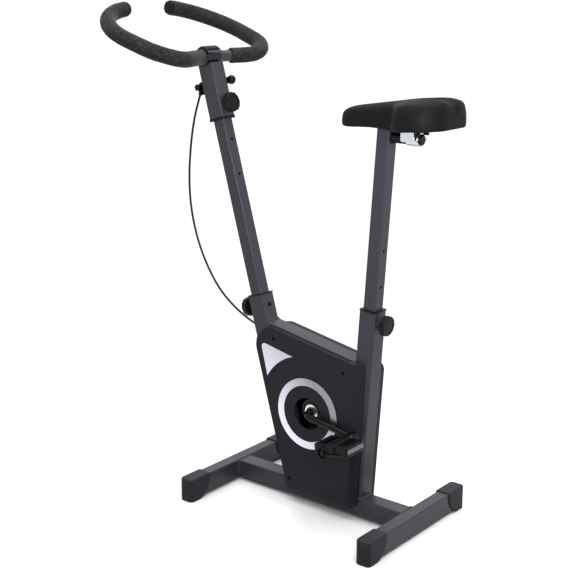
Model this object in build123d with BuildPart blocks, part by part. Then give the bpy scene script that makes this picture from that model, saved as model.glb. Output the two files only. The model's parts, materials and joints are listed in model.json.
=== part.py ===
"""Upright exercise bike: a welded tube frame on two stabilisers, a belt driven flywheel in a
two-piece casing, a sliding saddle and a sliding handlebar. Millimetres, +X forward, +Y left, +Z up.
The origin is on the floor under the middle of the bike's length."""

import os
from math import acos, atan2, cos, hypot, pi, radians, sin, tan

from build123d import *

# Overall layout
crank_x = -94.3  # crank axle, behind the middle of the bike's length
crank_z = 219.7
floor_gap = 5.5  # foot under each stabiliser tube
front_bar_x = crank_x + 230.0
rear_bar_x = crank_x - 249.0

# Base tubes
tube_wall = 1.5
tube_corner = 3.0
stabilizer_depth = 30.0
stabilizer_height = 45.0
stabilizer_half = 179.5
beam_width = 40.0
beam_height = 38.0
beam_top = floor_gap + stabilizer_height - 0.5
cap_wall = 2.5
cap_gap = 0.2
cap_top_reach = 60.0  # how far the cap's top covers the tube
cap_foot_reach = 27.0  # how far its foot reaches in under the tube
cap_arc_reach = 54.5  # middle of the arc between them

# Leaning tubes: an outer socket tube, and the post that stands in it
socket_depth = 40.0
socket_width = 40.0
post_depth = 30.0
post_width = 30.0
post_plug = 3.0
hole_pitch = 77.3
adjust_hole_radius = 3.6
front_lean = 15.62
front_foot_x = crank_x + 50.7
front_socket_length = 416.5
seat_lean = 3.96
seat_foot_x = crank_x - 110.0
seat_socket_length = 419.5
bush_flange = 2.5
bush_lip = 1.2
bush_depth = 18.0
slide_gap = 0.3

# Places along the leaning tubes, measured from the beam's top
front_bolt_s = 392.5
front_post_bottom_s = 330.0
stem_pin_s = 840.0
front_post_top_s = stem_pin_s + 8.0
stem_bottom_s = 808.0
stem_flange = 6.0
lever_s = 890.0
lever_pivot_t = 48.0  # ahead of the stem's axis
lever_ball_t = -21.0
seat_pin_s = 394.0
seat_post_bottom_s = seat_pin_s - hole_pitch - 34.0
seat_post_top_s = 796.5

# Top link tube and casing
link_width = 40.0
link_height = 40.0
link_drop = 2.3  # below the covers' top edge
cover_face_y = 39.5
cover_rim_y = socket_width / 2
cover_wall = 2.5
cover_edge = 4.0
cover_bottom_z = 31.5
cover_top_x = crank_x + 89.7
cover_top_z = 394.8  # height of the top edge at cover_top_x
cover_top_slope = 10.33
cover_front_inset = 8.0  # behind the front socket's front face
left_rear_inset = 7.0  # ahead of the seat socket's rear face
right_rear_inset = 4.0
right_top_drop = 5.0
left_top_corner = 46.0  # radius of the top front corner
right_top_corner = 42.0
lip_y = 35.0  # the left cover is open along the top, inside a narrow lip
lip_depth = 10.0
bevel_top = (crank_x - 118.8, 325.6)  # the left cover's rear bevel starts here on its face
bevel_foot = (crank_x - 110.9, 66.0)
bevel_wall = (crank_x - 132.0, 180.0)  # and passes through here on its rear wall
bevel_wall_y = 21.0
hub_opening_radius = 35.5
ring_outer_radius = 79.5
ring_inner_radius = 63.0
groove_radius = 120.0
groove_width = 3.0
groove_depth = 1.0
groove_angles = (22.0, 85.0)  # the groove runs beside the badge only
trim_thickness = 1.2
screw_radius = 2.0
screw_boss_radius = 7.0
screw_head_radius = 3.9
screw_head = 2.0
screw_sink = 9.0  # depth of the pocket that the screw's head stands in
link_screws = [(crank_x + 93.7, 370.9), (crank_x - 94.1, 330.8)]
front_screw = (crank_x + 48.7, 56.0)
cover_screw_points = link_screws + [front_screw]

# Crank and pedals
running_gap = 0.05
shell_radius = 28.0
shell_bore = 24.0
shell_half = 22.0
strut_depth = 40.0
strut_width = 20.0
crank_bearing_width = 12.0
axle_radius = 8.0
arm_radius = 7.5
cone_radius = 17.0
crank_length = 129.0
crank_angle = 8.0  # the left arm points back, and down by this
arm_y = 52.0
boss_half = 8.0
boss_radius = 12.0
pedal_inner_y = 66.0
pedal_outer_y = 128.0
pedal_length = 84.0
pedal_thickness = 23.0
pedal_tilt = 7.0  # the blocks hang a little nose down
pedal_drop = 6.0  # and below their axle
pedal_cap_y = 131.0
pedal_cap_radius = 11.0
spindle_radius = 6.0

# Belt drive, flywheel and brake
flywheel_z = 112.0
flywheel_radius = 62.0
flywheel_inner_y = 21.0
flywheel_outer_y = 34.5
flywheel_rim_radius = 44.0  # inside of the heavy rim
flywheel_web = (24.0, 29.0)
web_overlap = 2.0
flywheel_hub_radius = 14.0
flywheel_bearing_width = 7.0
flywheel_axle_radius = 4.0
hub_shell_radius = 14.0
bearing_radius = 11.0
belt_y = -30.3
belt_width = 6.0
belt_thickness = 2.0
belt_gap = 0.3
drive_pulley_radius = 70.0
flywheel_pulley_radius = 22.0
pulley_side = 1.5  # beside the belt
pulley_flange = 1.0
flange_rise = 3.0
pulley_web = (-30.3, -27.3)
drive_rim = 6.0
drive_hub = (-34.8, -26.0, 20.0)  # from, to and radius
drive_holes = 5
drive_hole_ring = 42.0
drive_hole_radius = 14.0
small_rim = 4.0
small_hub = (-30.3, -18.0, 11.0)
strap_thickness = 2.5
strap_gap = 0.5
strap_width = 10.0
strap_eye_radius = 8.0
stud_radius = 4.0
strap_stud = (crank_x - 108.0, 205.0)
strap_front = (crank_x + 78.0, 205.0)

# Handlebar
bar_x = crank_x + 305.8
bar_z = 961.9
bar_radius = 12.5
bar_wall = 1.5
grip_radius = 17.0
grip_bore_gap = 0.1
clamp_half = 21.5
cradle_radius = 17.5
cradle_flange = 8.0
cradle_half = 21.5
clamp_radius = 24.0
clamp_turn = 35.0  # the cap faces up and forward, further than the stem leans
clamp_bolt_t = 16.3
stem_top_drop = 15.0  # the stem's tube ends below the bar
clamp_bolt_y = 12.0
bar_corners = [
    (crank_x + 305.8, 32.0, 961.9),
    (crank_x + 249.4, 171.5, 963.4),
    (crank_x + 480.9, 198.5, 1044.0),
]
bar_end = (crank_x + 489.6, 69.6, 1061.6)
bar_radii = [50.0, 67.0, 120.0]
left_grip_y = 22.0
right_grip_start = 26.5  # past the first bend

# Seat arm and saddle
arm_z = 828.0
arm_bar_radius = 11.0
arm_end_x = crank_x - 249.0
clamp_x = crank_x - 231.0
clamp_length = 27.0
tilt_x = crank_x - 225.0
tilt_z = 849.0
cheek_inner_y = 14.6
ear_inner_y = 18.2
plate = 3.0
pan_bottom_z = 864.0
pan_top_z = 868.0

# Tension cable, from the stop on the stem to the brake spring inside the casing
cable_radius = 2.5
cable_route = [
    (crank_x + 333.7, 0.0, 878.2),
    (crank_x + 345.5, 0.0, 849.0),
    (crank_x + 358.5, 0.0, 803.0),
    (crank_x + 367.5, 0.0, 748.0),
    (crank_x + 372.5, 0.0, 690.0),
    (crank_x + 370.3, -0.5, 629.5),
    (crank_x + 357.6, -1.0, 569.0),
    (crank_x + 335.8, -3.5, 509.5),
    (crank_x + 301.6, -9.0, 448.0),
    (crank_x + 259.4, -16.0, 404.8),
    (crank_x + 207.4, -24.5, 372.4),
    (crank_x + 160.0, -28.8, 357.5),
    (crank_x + 122.0, -28.2, 352.0),
    (crank_x + 103.0, -23.5, 340.0),
    (crank_x + 90.0, -9.0, 320.0),
    (crank_x + 82.5, 9.0, 298.0),
    (crank_x + 80.0, 21.5, 276.0),
    (crank_x + 79.5, 26.0, 256.0),
]
grommet_y = -28.7
grommet_rise = 10.5

os.makedirs("parts", exist_ok=True)


def save(part, name):
    """Label a finished piece and write it to its own file."""
    part.label = name
    export_step(part, f"parts/{name}.step")


def lean_plane(foot_x, lean):
    """Plane square to a leaning tube at the beam's top: local x forward, local z up the tube."""
    a = radians(lean)
    return Plane((foot_x, 0, beam_top), x_dir=(cos(a), 0, -sin(a)), z_dir=(sin(a), 0, cos(a)))


front_plane = lean_plane(front_foot_x, front_lean)
seat_plane = lean_plane(seat_foot_x, -seat_lean)


def on_tube(tube_plane, t, y, s):
    """Point at t ahead of a leaning tube's axis, y to the left and s up the tube."""
    return tube_plane.from_local_coords((t, y, s))


def face_plane(tube_plane, t, s, forward=True):
    """Plane on a leaning tube's front or rear face, its normal pointing away from the tube."""
    normal = tube_plane.x_dir if forward else -tube_plane.x_dir
    return Plane(on_tube(tube_plane, t, 0, s), x_dir=(0, 1, 0), z_dir=normal)


def upright(y, tube_plane=Plane.XY, origin=(0, 0, 0)):
    """Plane facing right at a given y, drawn forward and up, leaning as the tube leans."""
    return Plane((origin[0], y, origin[2]), x_dir=tube_plane.x_dir, z_dir=(0, -1, 0))


def across(x, z, y):
    """Plane square to the bike's width, centred on an axle at x and z, facing left."""
    return Plane((x, y, z), x_dir=(1, 0, 0), z_dir=(0, 1, 0))


def rod(x, z, y_from, y_to, radius, bore=0.0):
    """Round bar or ring along the bike's width."""
    with BuildPart() as bar:
        with BuildSketch(across(x, z, y_from)):
            Circle(radius)
            if bore:
                Circle(bore, mode=Mode.SUBTRACT)
        extrude(amount=y_to - y_from)
    return bar.part


def hollow_bar(plane, depth, width, length, start=0.0):
    """Rectangular tube standing on a plane."""
    with BuildPart() as bar:
        with BuildSketch(plane.offset(start)):
            RectangleRounded(depth, width, tube_corner)
            RectangleRounded(
                depth - 2 * tube_wall,
                width - 2 * tube_wall,
                tube_corner - tube_wall,
                mode=Mode.SUBTRACT,
            )
        extrude(amount=length)
    return bar.part


# Base: two stabilisers and the beam between them
stabilizer_z = floor_gap + stabilizer_height / 2
for bar_name, bar_place in (("front", front_bar_x), ("rear", rear_bar_x)):
    stabilizer_plane = Plane(
        (bar_place, -stabilizer_half, stabilizer_z), x_dir=(1, 0, 0), z_dir=(0, 1, 0)
    )
    save(
        hollow_bar(stabilizer_plane, stabilizer_depth, stabilizer_height, 2 * stabilizer_half),
        f"{bar_name}_stabilizer",
    )

beam_start = rear_bar_x + stabilizer_depth / 2
beam_end = front_bar_x - stabilizer_depth / 2
beam_plane = Plane(
    (beam_start, 0, beam_top - beam_height / 2), x_dir=(0, 1, 0), z_dir=(1, 0, 0)
)
save(hollow_bar(beam_plane, beam_width, beam_height, beam_end - beam_start), "base_beam")

# Foot caps: a sleeve over the tube's end, its side walls cut back in an arc down to the foot
cap_depth = stabilizer_depth + 2 * cap_wall
cap_top_z = floor_gap + stabilizer_height + cap_wall
cap_end_y = stabilizer_half + cap_wall


def foot_cap(x):
    """Left foot cap of the stabiliser at x."""
    with BuildPart() as cap:
        with BuildSketch(Plane.YZ.offset(x - cap_depth / 2)):
            with BuildLine():
                inner_top = (stabilizer_half - cap_top_reach, cap_top_z - 1.2 * cap_wall)
                inner_foot = (stabilizer_half - cap_foot_reach, 0)
                Polyline(
                    inner_foot,
                    (cap_end_y, 0),
                    (cap_end_y, cap_top_z),
                    (inner_top[0], cap_top_z),
                    inner_top,
                )
                ThreePointArc(inner_top, (stabilizer_half - cap_arc_reach, cap_top_z * 0.46), inner_foot)
            make_face()
        extrude(amount=cap_depth)
        end_face = cap.faces().sort_by(Axis.Y)[-1]
        fillet(end_face.edges().filter_by(Axis.Z), radius=9)
        fillet(cap.faces().sort_by(Axis.Z)[-1].edges().filter_by(Axis.Y), radius=3.5)
        with BuildSketch(
            Plane((x, 0, stabilizer_z), x_dir=(1, 0, 0), z_dir=(0, 1, 0))
        ):
            RectangleRounded(
                stabilizer_depth + 2 * cap_gap, stabilizer_height + 2 * cap_gap, tube_corner
            )
        extrude(amount=stabilizer_half, mode=Mode.SUBTRACT)
    return cap.part


for bar_name, bar_place in (("front", front_bar_x), ("rear", rear_bar_x)):
    left_cap = foot_cap(bar_place)
    with BuildPart() as foot_caps:
        add(left_cap)
        mirror(about=Plane.XZ)
    save(foot_caps.part, f"{bar_name}_foot_caps")

# Socket tubes, cut level where they stand on the beam
beam_top_plane = Plane.XY.offset(beam_top)
tube_below = 20.0
boss_outer = 10.0
boss_height = 3.0
knob_shaft_radius = 5.0
front_bolt_radius = 4.0
half_socket = socket_depth / 2


def socket_blank(tube_plane, length):
    """Socket tube cut level at its foot."""
    blank = hollow_bar(tube_plane, socket_depth, socket_width, length + tube_below, -tube_below)
    with BuildPart() as tube:
        add(blank)
        split(bisect_by=beam_top_plane, keep=Keep.TOP)
    return tube.part


def screw_holes(points):
    """Cutters for screws that enter a tube from both sides."""
    with BuildPart() as cutters:
        for x, z in points:
            add(rod(x, z, -socket_width, socket_width, screw_radius + running_gap))
    return cutters.part


with BuildPart() as front_socket_tube:
    add(socket_blank(front_plane, front_socket_length))
    with BuildSketch(face_plane(front_plane, -socket_depth, front_bolt_s)):
        Circle(front_bolt_radius + running_gap)
    extrude(amount=2 * socket_depth, mode=Mode.SUBTRACT)
    add(screw_holes([front_screw]), mode=Mode.SUBTRACT)
save(front_socket_tube.part, "front_socket_tube")

with BuildPart() as seat_socket_tube:
    add(socket_blank(seat_plane, seat_socket_length))
    with BuildSketch(face_plane(seat_plane, -half_socket, seat_pin_s, forward=False)):
        Circle(boss_outer)
    extrude(amount=boss_height)
    with BuildSketch(face_plane(seat_plane, 0, seat_pin_s, forward=False)):
        Circle(knob_shaft_radius + running_gap)
    extrude(amount=socket_depth, mode=Mode.SUBTRACT)
    add(rod(*strap_stud, cover_rim_y, flywheel_outer_y, stud_radius))
save(seat_socket_tube.part, "seat_socket_tube")


def guide_bush(tube_plane, mouth_s, flange, depth, direction):
    """Plastic bush in a tube's mouth: a lip outside it and a sleeve inside, for the post."""
    with BuildPart() as bush:
        with BuildSketch(tube_plane.offset(mouth_s)):
            RectangleRounded(
                socket_depth + 2 * bush_lip, socket_width + 2 * bush_lip, tube_corner + bush_lip
            )
        extrude(amount=direction * flange)
        with BuildSketch(tube_plane.offset(mouth_s)):
            RectangleRounded(
                socket_depth - 2 * tube_wall, socket_width - 2 * tube_wall, tube_corner - tube_wall
            )
        extrude(amount=-direction * depth)
        with BuildSketch(tube_plane.offset(mouth_s - 2 * depth)):
            RectangleRounded(
                post_depth + 2 * slide_gap, post_width + 2 * slide_gap, tube_corner
            )
        extrude(amount=4 * depth, mode=Mode.SUBTRACT)
    return bush.part


with BuildPart() as socket_bushes:
    add(guide_bush(front_plane, front_socket_length, bush_flange, bush_depth, 1))
    add(guide_bush(seat_plane, seat_socket_length, bush_flange, bush_depth, 1))
save(socket_bushes.part, "socket_bushes")

# Top link tube, cut to the faces of the two socket tubes
slope = radians(cover_top_slope)
link_centre_z = (
    cover_top_z
    + (crank_x - cover_top_x) * tan(slope)
    - link_drop
    - link_height / 2 / cos(slope)
)
link_plane = Plane((crank_x, 0, link_centre_z), x_dir=(0, 1, 0), z_dir=(cos(slope), 0, sin(slope)))
link_reach = 200.0
with BuildPart() as top_link_tube:
    add(hollow_bar(link_plane, link_width, link_height, 2 * link_reach, -link_reach))
    split(bisect_by=face_plane(front_plane, -half_socket, 0), keep=Keep.BOTTOM)
    split(bisect_by=face_plane(seat_plane, half_socket, 0), keep=Keep.TOP)
    add(screw_holes(link_screws), mode=Mode.SUBTRACT)
save(top_link_tube.part, "top_link_tube")

# Strut with the bottom bracket on top of it and the flywheel's hub shell through it
with BuildPart() as bottom_bracket_strut:
    add(hollow_bar(
        Plane((crank_x, 0, beam_top)), strut_depth, strut_width, crank_z - beam_top
    ))
    add(rod(crank_x, crank_z, -shell_half, shell_half, shell_radius), mode=Mode.SUBTRACT)
    add(
        rod(crank_x, flywheel_z, -shell_half, shell_half, hub_shell_radius),
        mode=Mode.SUBTRACT,
    )
save(bottom_bracket_strut.part, "bottom_bracket_strut")

save(
    rod(crank_x, crank_z, -shell_half, shell_half, shell_radius, shell_bore),
    "bottom_bracket_shell",
)
hub_half = 17.0
save(
    rod(crank_x, flywheel_z, -hub_half, hub_half, hub_shell_radius, bearing_radius),
    "flywheel_hub_shell",
)


def bearing_pair(z, outer_y, width, outer, bore):
    """Two bearings on one axle, one at each end of its shell."""
    with BuildPart() as pair:
        for side in (-1, 1):
            add(rod(crank_x, z, side * (outer_y - width), side * outer_y, outer, bore))
    return pair.part


save(
    bearing_pair(
        crank_z, shell_half, crank_bearing_width, shell_bore, axle_radius + running_gap
    ),
    "crank_bearings",
)
save(
    bearing_pair(
        flywheel_z, hub_half - 1, flywheel_bearing_width, bearing_radius,
        flywheel_axle_radius + running_gap,
    ),
    "flywheel_bearings",
)

# Posts
half_post = post_depth / 2


def adjust_holes(tube_plane, places):
    """Cutters for the row of holes in a post's rear wall."""
    with BuildPart() as cutters:
        for s in places:
            with BuildSketch(face_plane(tube_plane, 0, s, forward=False)):
                Circle(adjust_hole_radius)
            extrude(amount=post_depth)
    return cutters.part


front_post_holes = [stem_pin_s - k * hole_pitch for k in range(3)]
with BuildPart() as front_post:
    add(hollow_bar(
        front_plane, post_depth, post_width, front_post_top_s - front_post_bottom_s,
        front_post_bottom_s,
    ))
    add(adjust_holes(front_plane, front_post_holes), mode=Mode.SUBTRACT)
    with BuildSketch(face_plane(front_plane, -socket_depth, front_bolt_s)):
        Circle(front_bolt_radius + running_gap)
    extrude(amount=2 * socket_depth, mode=Mode.SUBTRACT)
save(front_post.part, "front_post")

seat_post_holes = [seat_pin_s + k * hole_pitch for k in range(-1, 3)]
with BuildPart() as seat_post:
    add(hollow_bar(
        seat_plane, post_depth, post_width, seat_post_top_s - seat_post_bottom_s,
        seat_post_bottom_s,
    ))
    add(adjust_holes(seat_plane, seat_post_holes), mode=Mode.SUBTRACT)
    with BuildSketch(seat_plane.offset(seat_post_top_s - post_plug)):
        Rectangle(post_depth - 2 * tube_wall, post_width - 2 * tube_wall)
    extrude(amount=post_plug)
save(seat_post.part, "seat_post")

# Casing: two dished covers between the tubes
front_edge_t = half_socket - cover_front_inset
lip_front_x = crank_x + 113.0
lip_rear_x = crank_x - 109.0
cover_front_corner = 12.0
cover_rear_corners = [20.0, 10.0]


def tube_line_x(tube_plane, t, z):
    """Where a line beside a leaning tube's axis crosses a height."""
    start = on_tube(tube_plane, t, 0, 0)
    return start.X + (z - start.Z) * tube_plane.z_dir.X / tube_plane.z_dir.Z


def top_corner(tube_plane, t, drop):
    """Corner where the line beside a tube meets a cover's top edge."""
    x = cover_top_x
    for _ in range(8):
        z = cover_top_z - drop + (x - cover_top_x) * tan(slope)
        x = tube_line_x(tube_plane, t, z)
    return (x, z)


def cover_block(inset, rear_inset, top_drop, top_radius, edge_radius):
    """Solid block of a cover's outline, on the left."""
    rear_t = rear_inset - half_socket
    corners = [
        (tube_line_x(front_plane, front_edge_t, cover_bottom_z), cover_bottom_z),
        top_corner(front_plane, front_edge_t, top_drop),
        top_corner(seat_plane, rear_t, top_drop),
        (tube_line_x(seat_plane, rear_t, cover_bottom_z), cover_bottom_z),
    ]
    with BuildPart() as block:
        with BuildSketch(upright(cover_rim_y)):
            with BuildLine():
                radii = [cover_front_corner, top_radius, *cover_rear_corners]
                FilletPolyline(*corners, radius=radii, close=True)
            make_face()
            if inset:
                offset(amount=-inset)
        extrude(amount=cover_rim_y - cover_face_y + inset)
        if edge_radius:
            fillet(block.faces().sort_by(Axis.Y)[-1].edges(), radius=edge_radius)
    return block.part


def bevel_plane(inset):
    """Plane that bevels the rear edge of the left cover, or of its hollow, facing outwards."""
    top = Vector(bevel_top[0], cover_face_y, bevel_top[1])
    foot = Vector(bevel_foot[0], cover_face_y, bevel_foot[1])
    wall = Vector(bevel_wall[0], bevel_wall_y, bevel_wall[1])
    return Plane(top, x_dir=foot - top, z_dir=(foot - top).cross(wall - top)).offset(-inset)


def round_hub(radius, angle):
    """Point at a radius and angle about the crank axle, seen from the right."""
    return (crank_x + radius * cos(radians(angle)), crank_z + radius * sin(radians(angle)))


def top_line(x, drop):
    """Point this far below the covers' top edge."""
    return (x, cover_top_z + (x - cover_top_x) * tan(slope) - drop)


def cover_shell(rear_inset, top_drop, top_radius):
    """A cover, on the left: face, walls, screw bosses, hub opening and a round groove."""
    open_cover = top_drop == 0  # the left cover is bevelled behind and open along the top
    with BuildPart() as hollow:
        add(cover_block(cover_wall, rear_inset, top_drop, top_radius, 0))
        if open_cover:
            split(bisect_by=bevel_plane(cover_wall), keep=Keep.BOTTOM)
    with BuildPart() as cover:
        add(cover_block(0, rear_inset, top_drop, top_radius, cover_edge))
        if open_cover:
            split(bisect_by=bevel_plane(0), keep=Keep.BOTTOM)
        add(hollow.part, mode=Mode.SUBTRACT)
        for x, z in cover_screw_points:
            add(rod(x, z, cover_rim_y, cover_face_y - cover_wall / 2, screw_boss_radius))
        for x, z in cover_screw_points:
            add(
                rod(x, z, 0, 2 * cover_face_y, screw_radius + running_gap),
                mode=Mode.SUBTRACT,
            )
            add(
                rod(
                    x, z, cover_face_y - screw_sink, 2 * cover_face_y,
                    screw_head_radius + slide_gap,
                ),
                mode=Mode.SUBTRACT,
            )
        add(
            rod(crank_x, crank_z, 0, 2 * cover_face_y, hub_opening_radius),
            mode=Mode.SUBTRACT,
        )
        with BuildSketch(upright(cover_face_y)):
            with BuildLine():
                groove_mid = sum(groove_angles) / 2
                ThreePointArc(*[
                    round_hub(groove_radius, angle)
                    for angle in (groove_angles[0], groove_mid, groove_angles[1])
                ])
            trace(line_width=groove_width)
        extrude(amount=groove_depth, mode=Mode.SUBTRACT)
        if open_cover:
            with BuildSketch(upright(lip_y)):
                with BuildLine():
                    Polyline(
                        top_line(lip_front_x, -lip_depth),
                        top_line(lip_rear_x, -lip_depth),
                        top_line(lip_rear_x, lip_depth),
                        top_line(lip_front_x, lip_depth),
                        close=True,
                    )
                make_face()
            extrude(amount=lip_y, mode=Mode.SUBTRACT)
        with BuildSketch(Plane.YZ.offset(beam_start)):
            with Locations((0, beam_top - beam_height / 2)):
                Rectangle(beam_width + 2 * cap_gap, beam_height + 2 * cap_gap)
        extrude(amount=beam_end - beam_start, mode=Mode.SUBTRACT)
    return cover.part


save(cover_shell(left_rear_inset, 0.0, left_top_corner), "left_cover")

corner_x, corner_z = top_corner(front_plane, front_edge_t, right_top_drop)
corner_down = -front_plane.z_dir
corner_back = Vector(-cos(slope), 0, -sin(slope))
corner_half_angle = radians(corner_down.get_angle(corner_back)) / 2
corner_centre = (
    Vector(corner_x, grommet_y, corner_z)
    + (corner_down + corner_back).normalized() * (right_top_corner / sin(corner_half_angle))
)
grommet_dir = Vector(cos(radians(grommet_rise)), 0, sin(radians(grommet_rise)))
grommet_plane = Plane(
    corner_centre + grommet_dir * right_top_corner, x_dir=(0, 1, 0), z_dir=grommet_dir
)
grommet_radius = 6.5
grommet_bore = 5.3
grommet_flange = 2.0
grommet_rib = 1.5
grommet_neck = cover_wall + 1.0  # the wall curves away behind the flat flange
with BuildPart() as right_cover:
    add(cover_shell(right_rear_inset, right_top_drop, right_top_corner))
    mirror(about=Plane.XZ, mode=Mode.REPLACE)
    with BuildSketch(grommet_plane.offset(-2 * cover_wall)):
        Circle(grommet_radius)
    extrude(amount=4 * cover_wall, mode=Mode.SUBTRACT)
save(right_cover.part, "right_cover")

with BuildPart() as cable_grommet:
    with BuildSketch(grommet_plane):
        Circle(grommet_radius + grommet_flange)
    extrude(amount=grommet_flange)
    with BuildSketch(grommet_plane):
        Circle(grommet_radius)
    extrude(amount=-grommet_neck)
    with BuildSketch(grommet_plane.offset(-grommet_neck)):
        Circle(grommet_radius + grommet_rib)
    extrude(amount=-grommet_rib)
    with BuildSketch(grommet_plane.offset(-4 * cover_wall)):
        Circle(grommet_bore)
    extrude(amount=8 * cover_wall, mode=Mode.SUBTRACT)
save(cable_grommet.part, "cable_grommet")

with BuildPart() as cover_screws:
    for side in (-1, 1):
        for screw_x, screw_z in cover_screw_points:
            seat_y = side * (cover_face_y - screw_sink)
            head_y = side * (cover_face_y - screw_sink + screw_head)
            add(rod(screw_x, screw_z, side * (cover_rim_y - 4), seat_y, screw_radius))
            add(rod(screw_x, screw_z, seat_y, head_y, screw_head_radius))
save(cover_screws.part, "cover_screws")

# Silver trim on the covers: a ring round the hub and a three-cornered plate ahead of it
trim_outer_y = cover_face_y + trim_thickness
with BuildPart() as trim_rings:
    for side in (1, -1):
        add(rod(
            crank_x, crank_z, side * cover_face_y, side * trim_outer_y,
            ring_outer_radius, ring_inner_radius,
        ))
save(trim_rings.part, "trim_rings")

badge_radius = 127.5
badge_top_angle = 71.6
badge_low_angle = 30.4
badge_corner = (crank_x + 128.6, crank_z + 139.2)
badge_corner_radius = 8.0

with BuildPart() as badges:
    with BuildSketch(upright(cover_face_y)):
        with BuildLine():
            badge_top = round_hub(badge_radius, badge_top_angle)
            badge_low = round_hub(badge_radius, badge_low_angle)
            badge_middle = round_hub(badge_radius, (badge_top_angle + badge_low_angle) / 2)
            ThreePointArc(badge_top, badge_middle, badge_low)
            Polyline(badge_low, badge_corner, badge_top)
        make_face()
        fillet(vertices().sort_by(Axis.X)[-1], radius=badge_corner_radius)
    extrude(amount=-trim_thickness)
    mirror(about=Plane.XZ)
save(badges.part, "badges")

# One-piece crank: an axle with an arm bent out at each end
crank_a = radians(crank_angle)
crank_dir = (-cos(crank_a), -sin(crank_a))
axle_half = 36.0
arm_root_y = 48.5
arm_bend = 16.0


def crank_point(r, y):
    """Point at r along the left arm's direction from the crank axle."""
    return (crank_x + r * crank_dir[0], y, crank_z + r * crank_dir[1])


left_pedal_x, _, left_pedal_z = crank_point(crank_length, 0)
right_pedal_x, _, right_pedal_z = crank_point(-crank_length, 0)
pedal_axles = {1: (left_pedal_x, left_pedal_z), -1: (right_pedal_x, right_pedal_z)}
with BuildPart() as crank:
    add(rod(crank_x, crank_z, -axle_half, axle_half, axle_radius))
    for side in (1, -1):
        with BuildLine() as arm_line:
            FilletPolyline(
                crank_point(0, side * (axle_half - 8)),
                crank_point(0, side * arm_root_y),
                crank_point(side * crank_length, side * arm_y),
                radius=arm_bend,
            )
        with BuildSketch(across(crank_x, crank_z, side * (axle_half - 8))):
            Circle(arm_radius)
        sweep(path=arm_line.wire())
        boss_x, boss_z = pedal_axles[side]
        add(rod(boss_x, boss_z, side * (arm_y - boss_half), side * (arm_y + boss_half), boss_radius))
    for side in (1, -1):
        add(
            rod(*pedal_axles[side], side * (arm_y - 20), side * (arm_y + 20),
                spindle_radius + running_gap),
            mode=Mode.SUBTRACT,
        )
save(crank.part, "crank")

cone_start = shell_half + 0.3
cone_end = 25.7
with BuildPart() as crank_cones:
    for side in (1, -1):
        add(rod(crank_x, crank_z, side * cone_start, side * cone_end, cone_radius,
                axle_radius + running_gap))
save(crank_cones.part, "crank_cones")

with BuildPart() as crank_locknut:
    with BuildSketch(across(crank_x, crank_z, cone_end + 0.1)):
        RegularPolygon(radius=axle_radius + 3.5, side_count=6)
        Circle(axle_radius + running_gap, mode=Mode.SUBTRACT)
    extrude(amount=5)
save(crank_locknut.part, "crank_locknut")


def grooved_pulley(z, radius, rim, hub, bore):
    """Belt pulley on the crank's or flywheel's axle: flanged rim, web and hub."""
    rim_from = belt_y - belt_width / 2 - pulley_side
    rim_to = belt_y + belt_width / 2 + pulley_side
    hub_from, hub_to, hub_outer = hub
    flange = radius + flange_rise
    with BuildPart() as pulley:
        add(rod(crank_x, z, rim_from, rim_to, radius, radius - rim))
        add(rod(crank_x, z, rim_from, rim_from + pulley_flange, flange, radius - rim))
        add(rod(crank_x, z, rim_to - pulley_flange, rim_to, flange, radius - rim))
        add(rod(crank_x, z, *pulley_web, radius - rim / 2, bore))
        add(rod(crank_x, z, hub_from, hub_to, hub_outer, bore))
    return pulley.part


with BuildPart() as drive_pulley:
    add(grooved_pulley(
        crank_z, drive_pulley_radius, drive_rim, drive_hub, axle_radius + running_gap
    ))
    for hole in range(drive_holes):
        hole_x, hole_z = round_hub(drive_hole_ring, hole * 360 / drive_holes)
        add(
            rod(hole_x, hole_z, belt_y - 10, belt_y + 10, drive_hole_radius),
            mode=Mode.SUBTRACT,
        )
save(drive_pulley.part, "drive_pulley")

# Pedals: a spindle screwed into the crank, and a moulded block that turns on it
flange_y = pedal_inner_y - 1.0
with BuildPart() as pedal_spindles:
    for side in (1, -1):
        add(rod(*pedal_axles[side], side * (arm_y - 7), side * (pedal_cap_y - 4), spindle_radius))
        add(rod(*pedal_axles[side], side * (arm_y + boss_half + 0.1), side * flange_y, spindle_radius + 3))
save(pedal_spindles.part, "pedal_spindles")

reflector_length = 54.0
reflector_height = 9.0
reflector_depth = 2.5
end_plate = 8.0
tread_bar = 14.0
axle_tube = 11.0
tread_groove = 2.0
lug_place = (17.7, 6.5)  # strap lug on the outer end, ahead of the axle and below it
lug_radius = 13.5
lug_rim = 2.5
lug_pin = 5.0
lug_height = 5.0
lug_pocket = 6.0
slot_place = (-12.0, 3.0)
slot_size = (24.0, 9.0)
slot_depth = 4.0
pedal_width = pedal_outer_y - pedal_inner_y
window_length = pedal_length / 2 - tread_bar - axle_tube
window_middle = axle_tube + window_length / 2
pedal_a = radians(pedal_tilt)


def pedal_plane(side):
    """Plane through the middle of a pedal's block, tipped a little forwards."""
    x, z = pedal_axles[side]
    return Plane(
        (x, side * (pedal_inner_y + pedal_outer_y) / 2, z - pedal_drop),
        x_dir=(cos(pedal_a), 0, -sin(pedal_a)),
        z_dir=(sin(pedal_a), 0, cos(pedal_a)),
    )


def reflector_pair(side):
    """Reflector strips let into the two ends of a pedal."""
    middle = pedal_plane(side)
    with BuildPart() as strips:
        for end in (-1, 1):
            end_centre = middle.from_local_coords((end * pedal_length / 2, 0, 0))
            with BuildSketch(Plane(end_centre, x_dir=(0, 1, 0), z_dir=middle.x_dir * end)):
                Rectangle(reflector_length, reflector_height)
            extrude(amount=-reflector_depth)
    return strips.part


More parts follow.
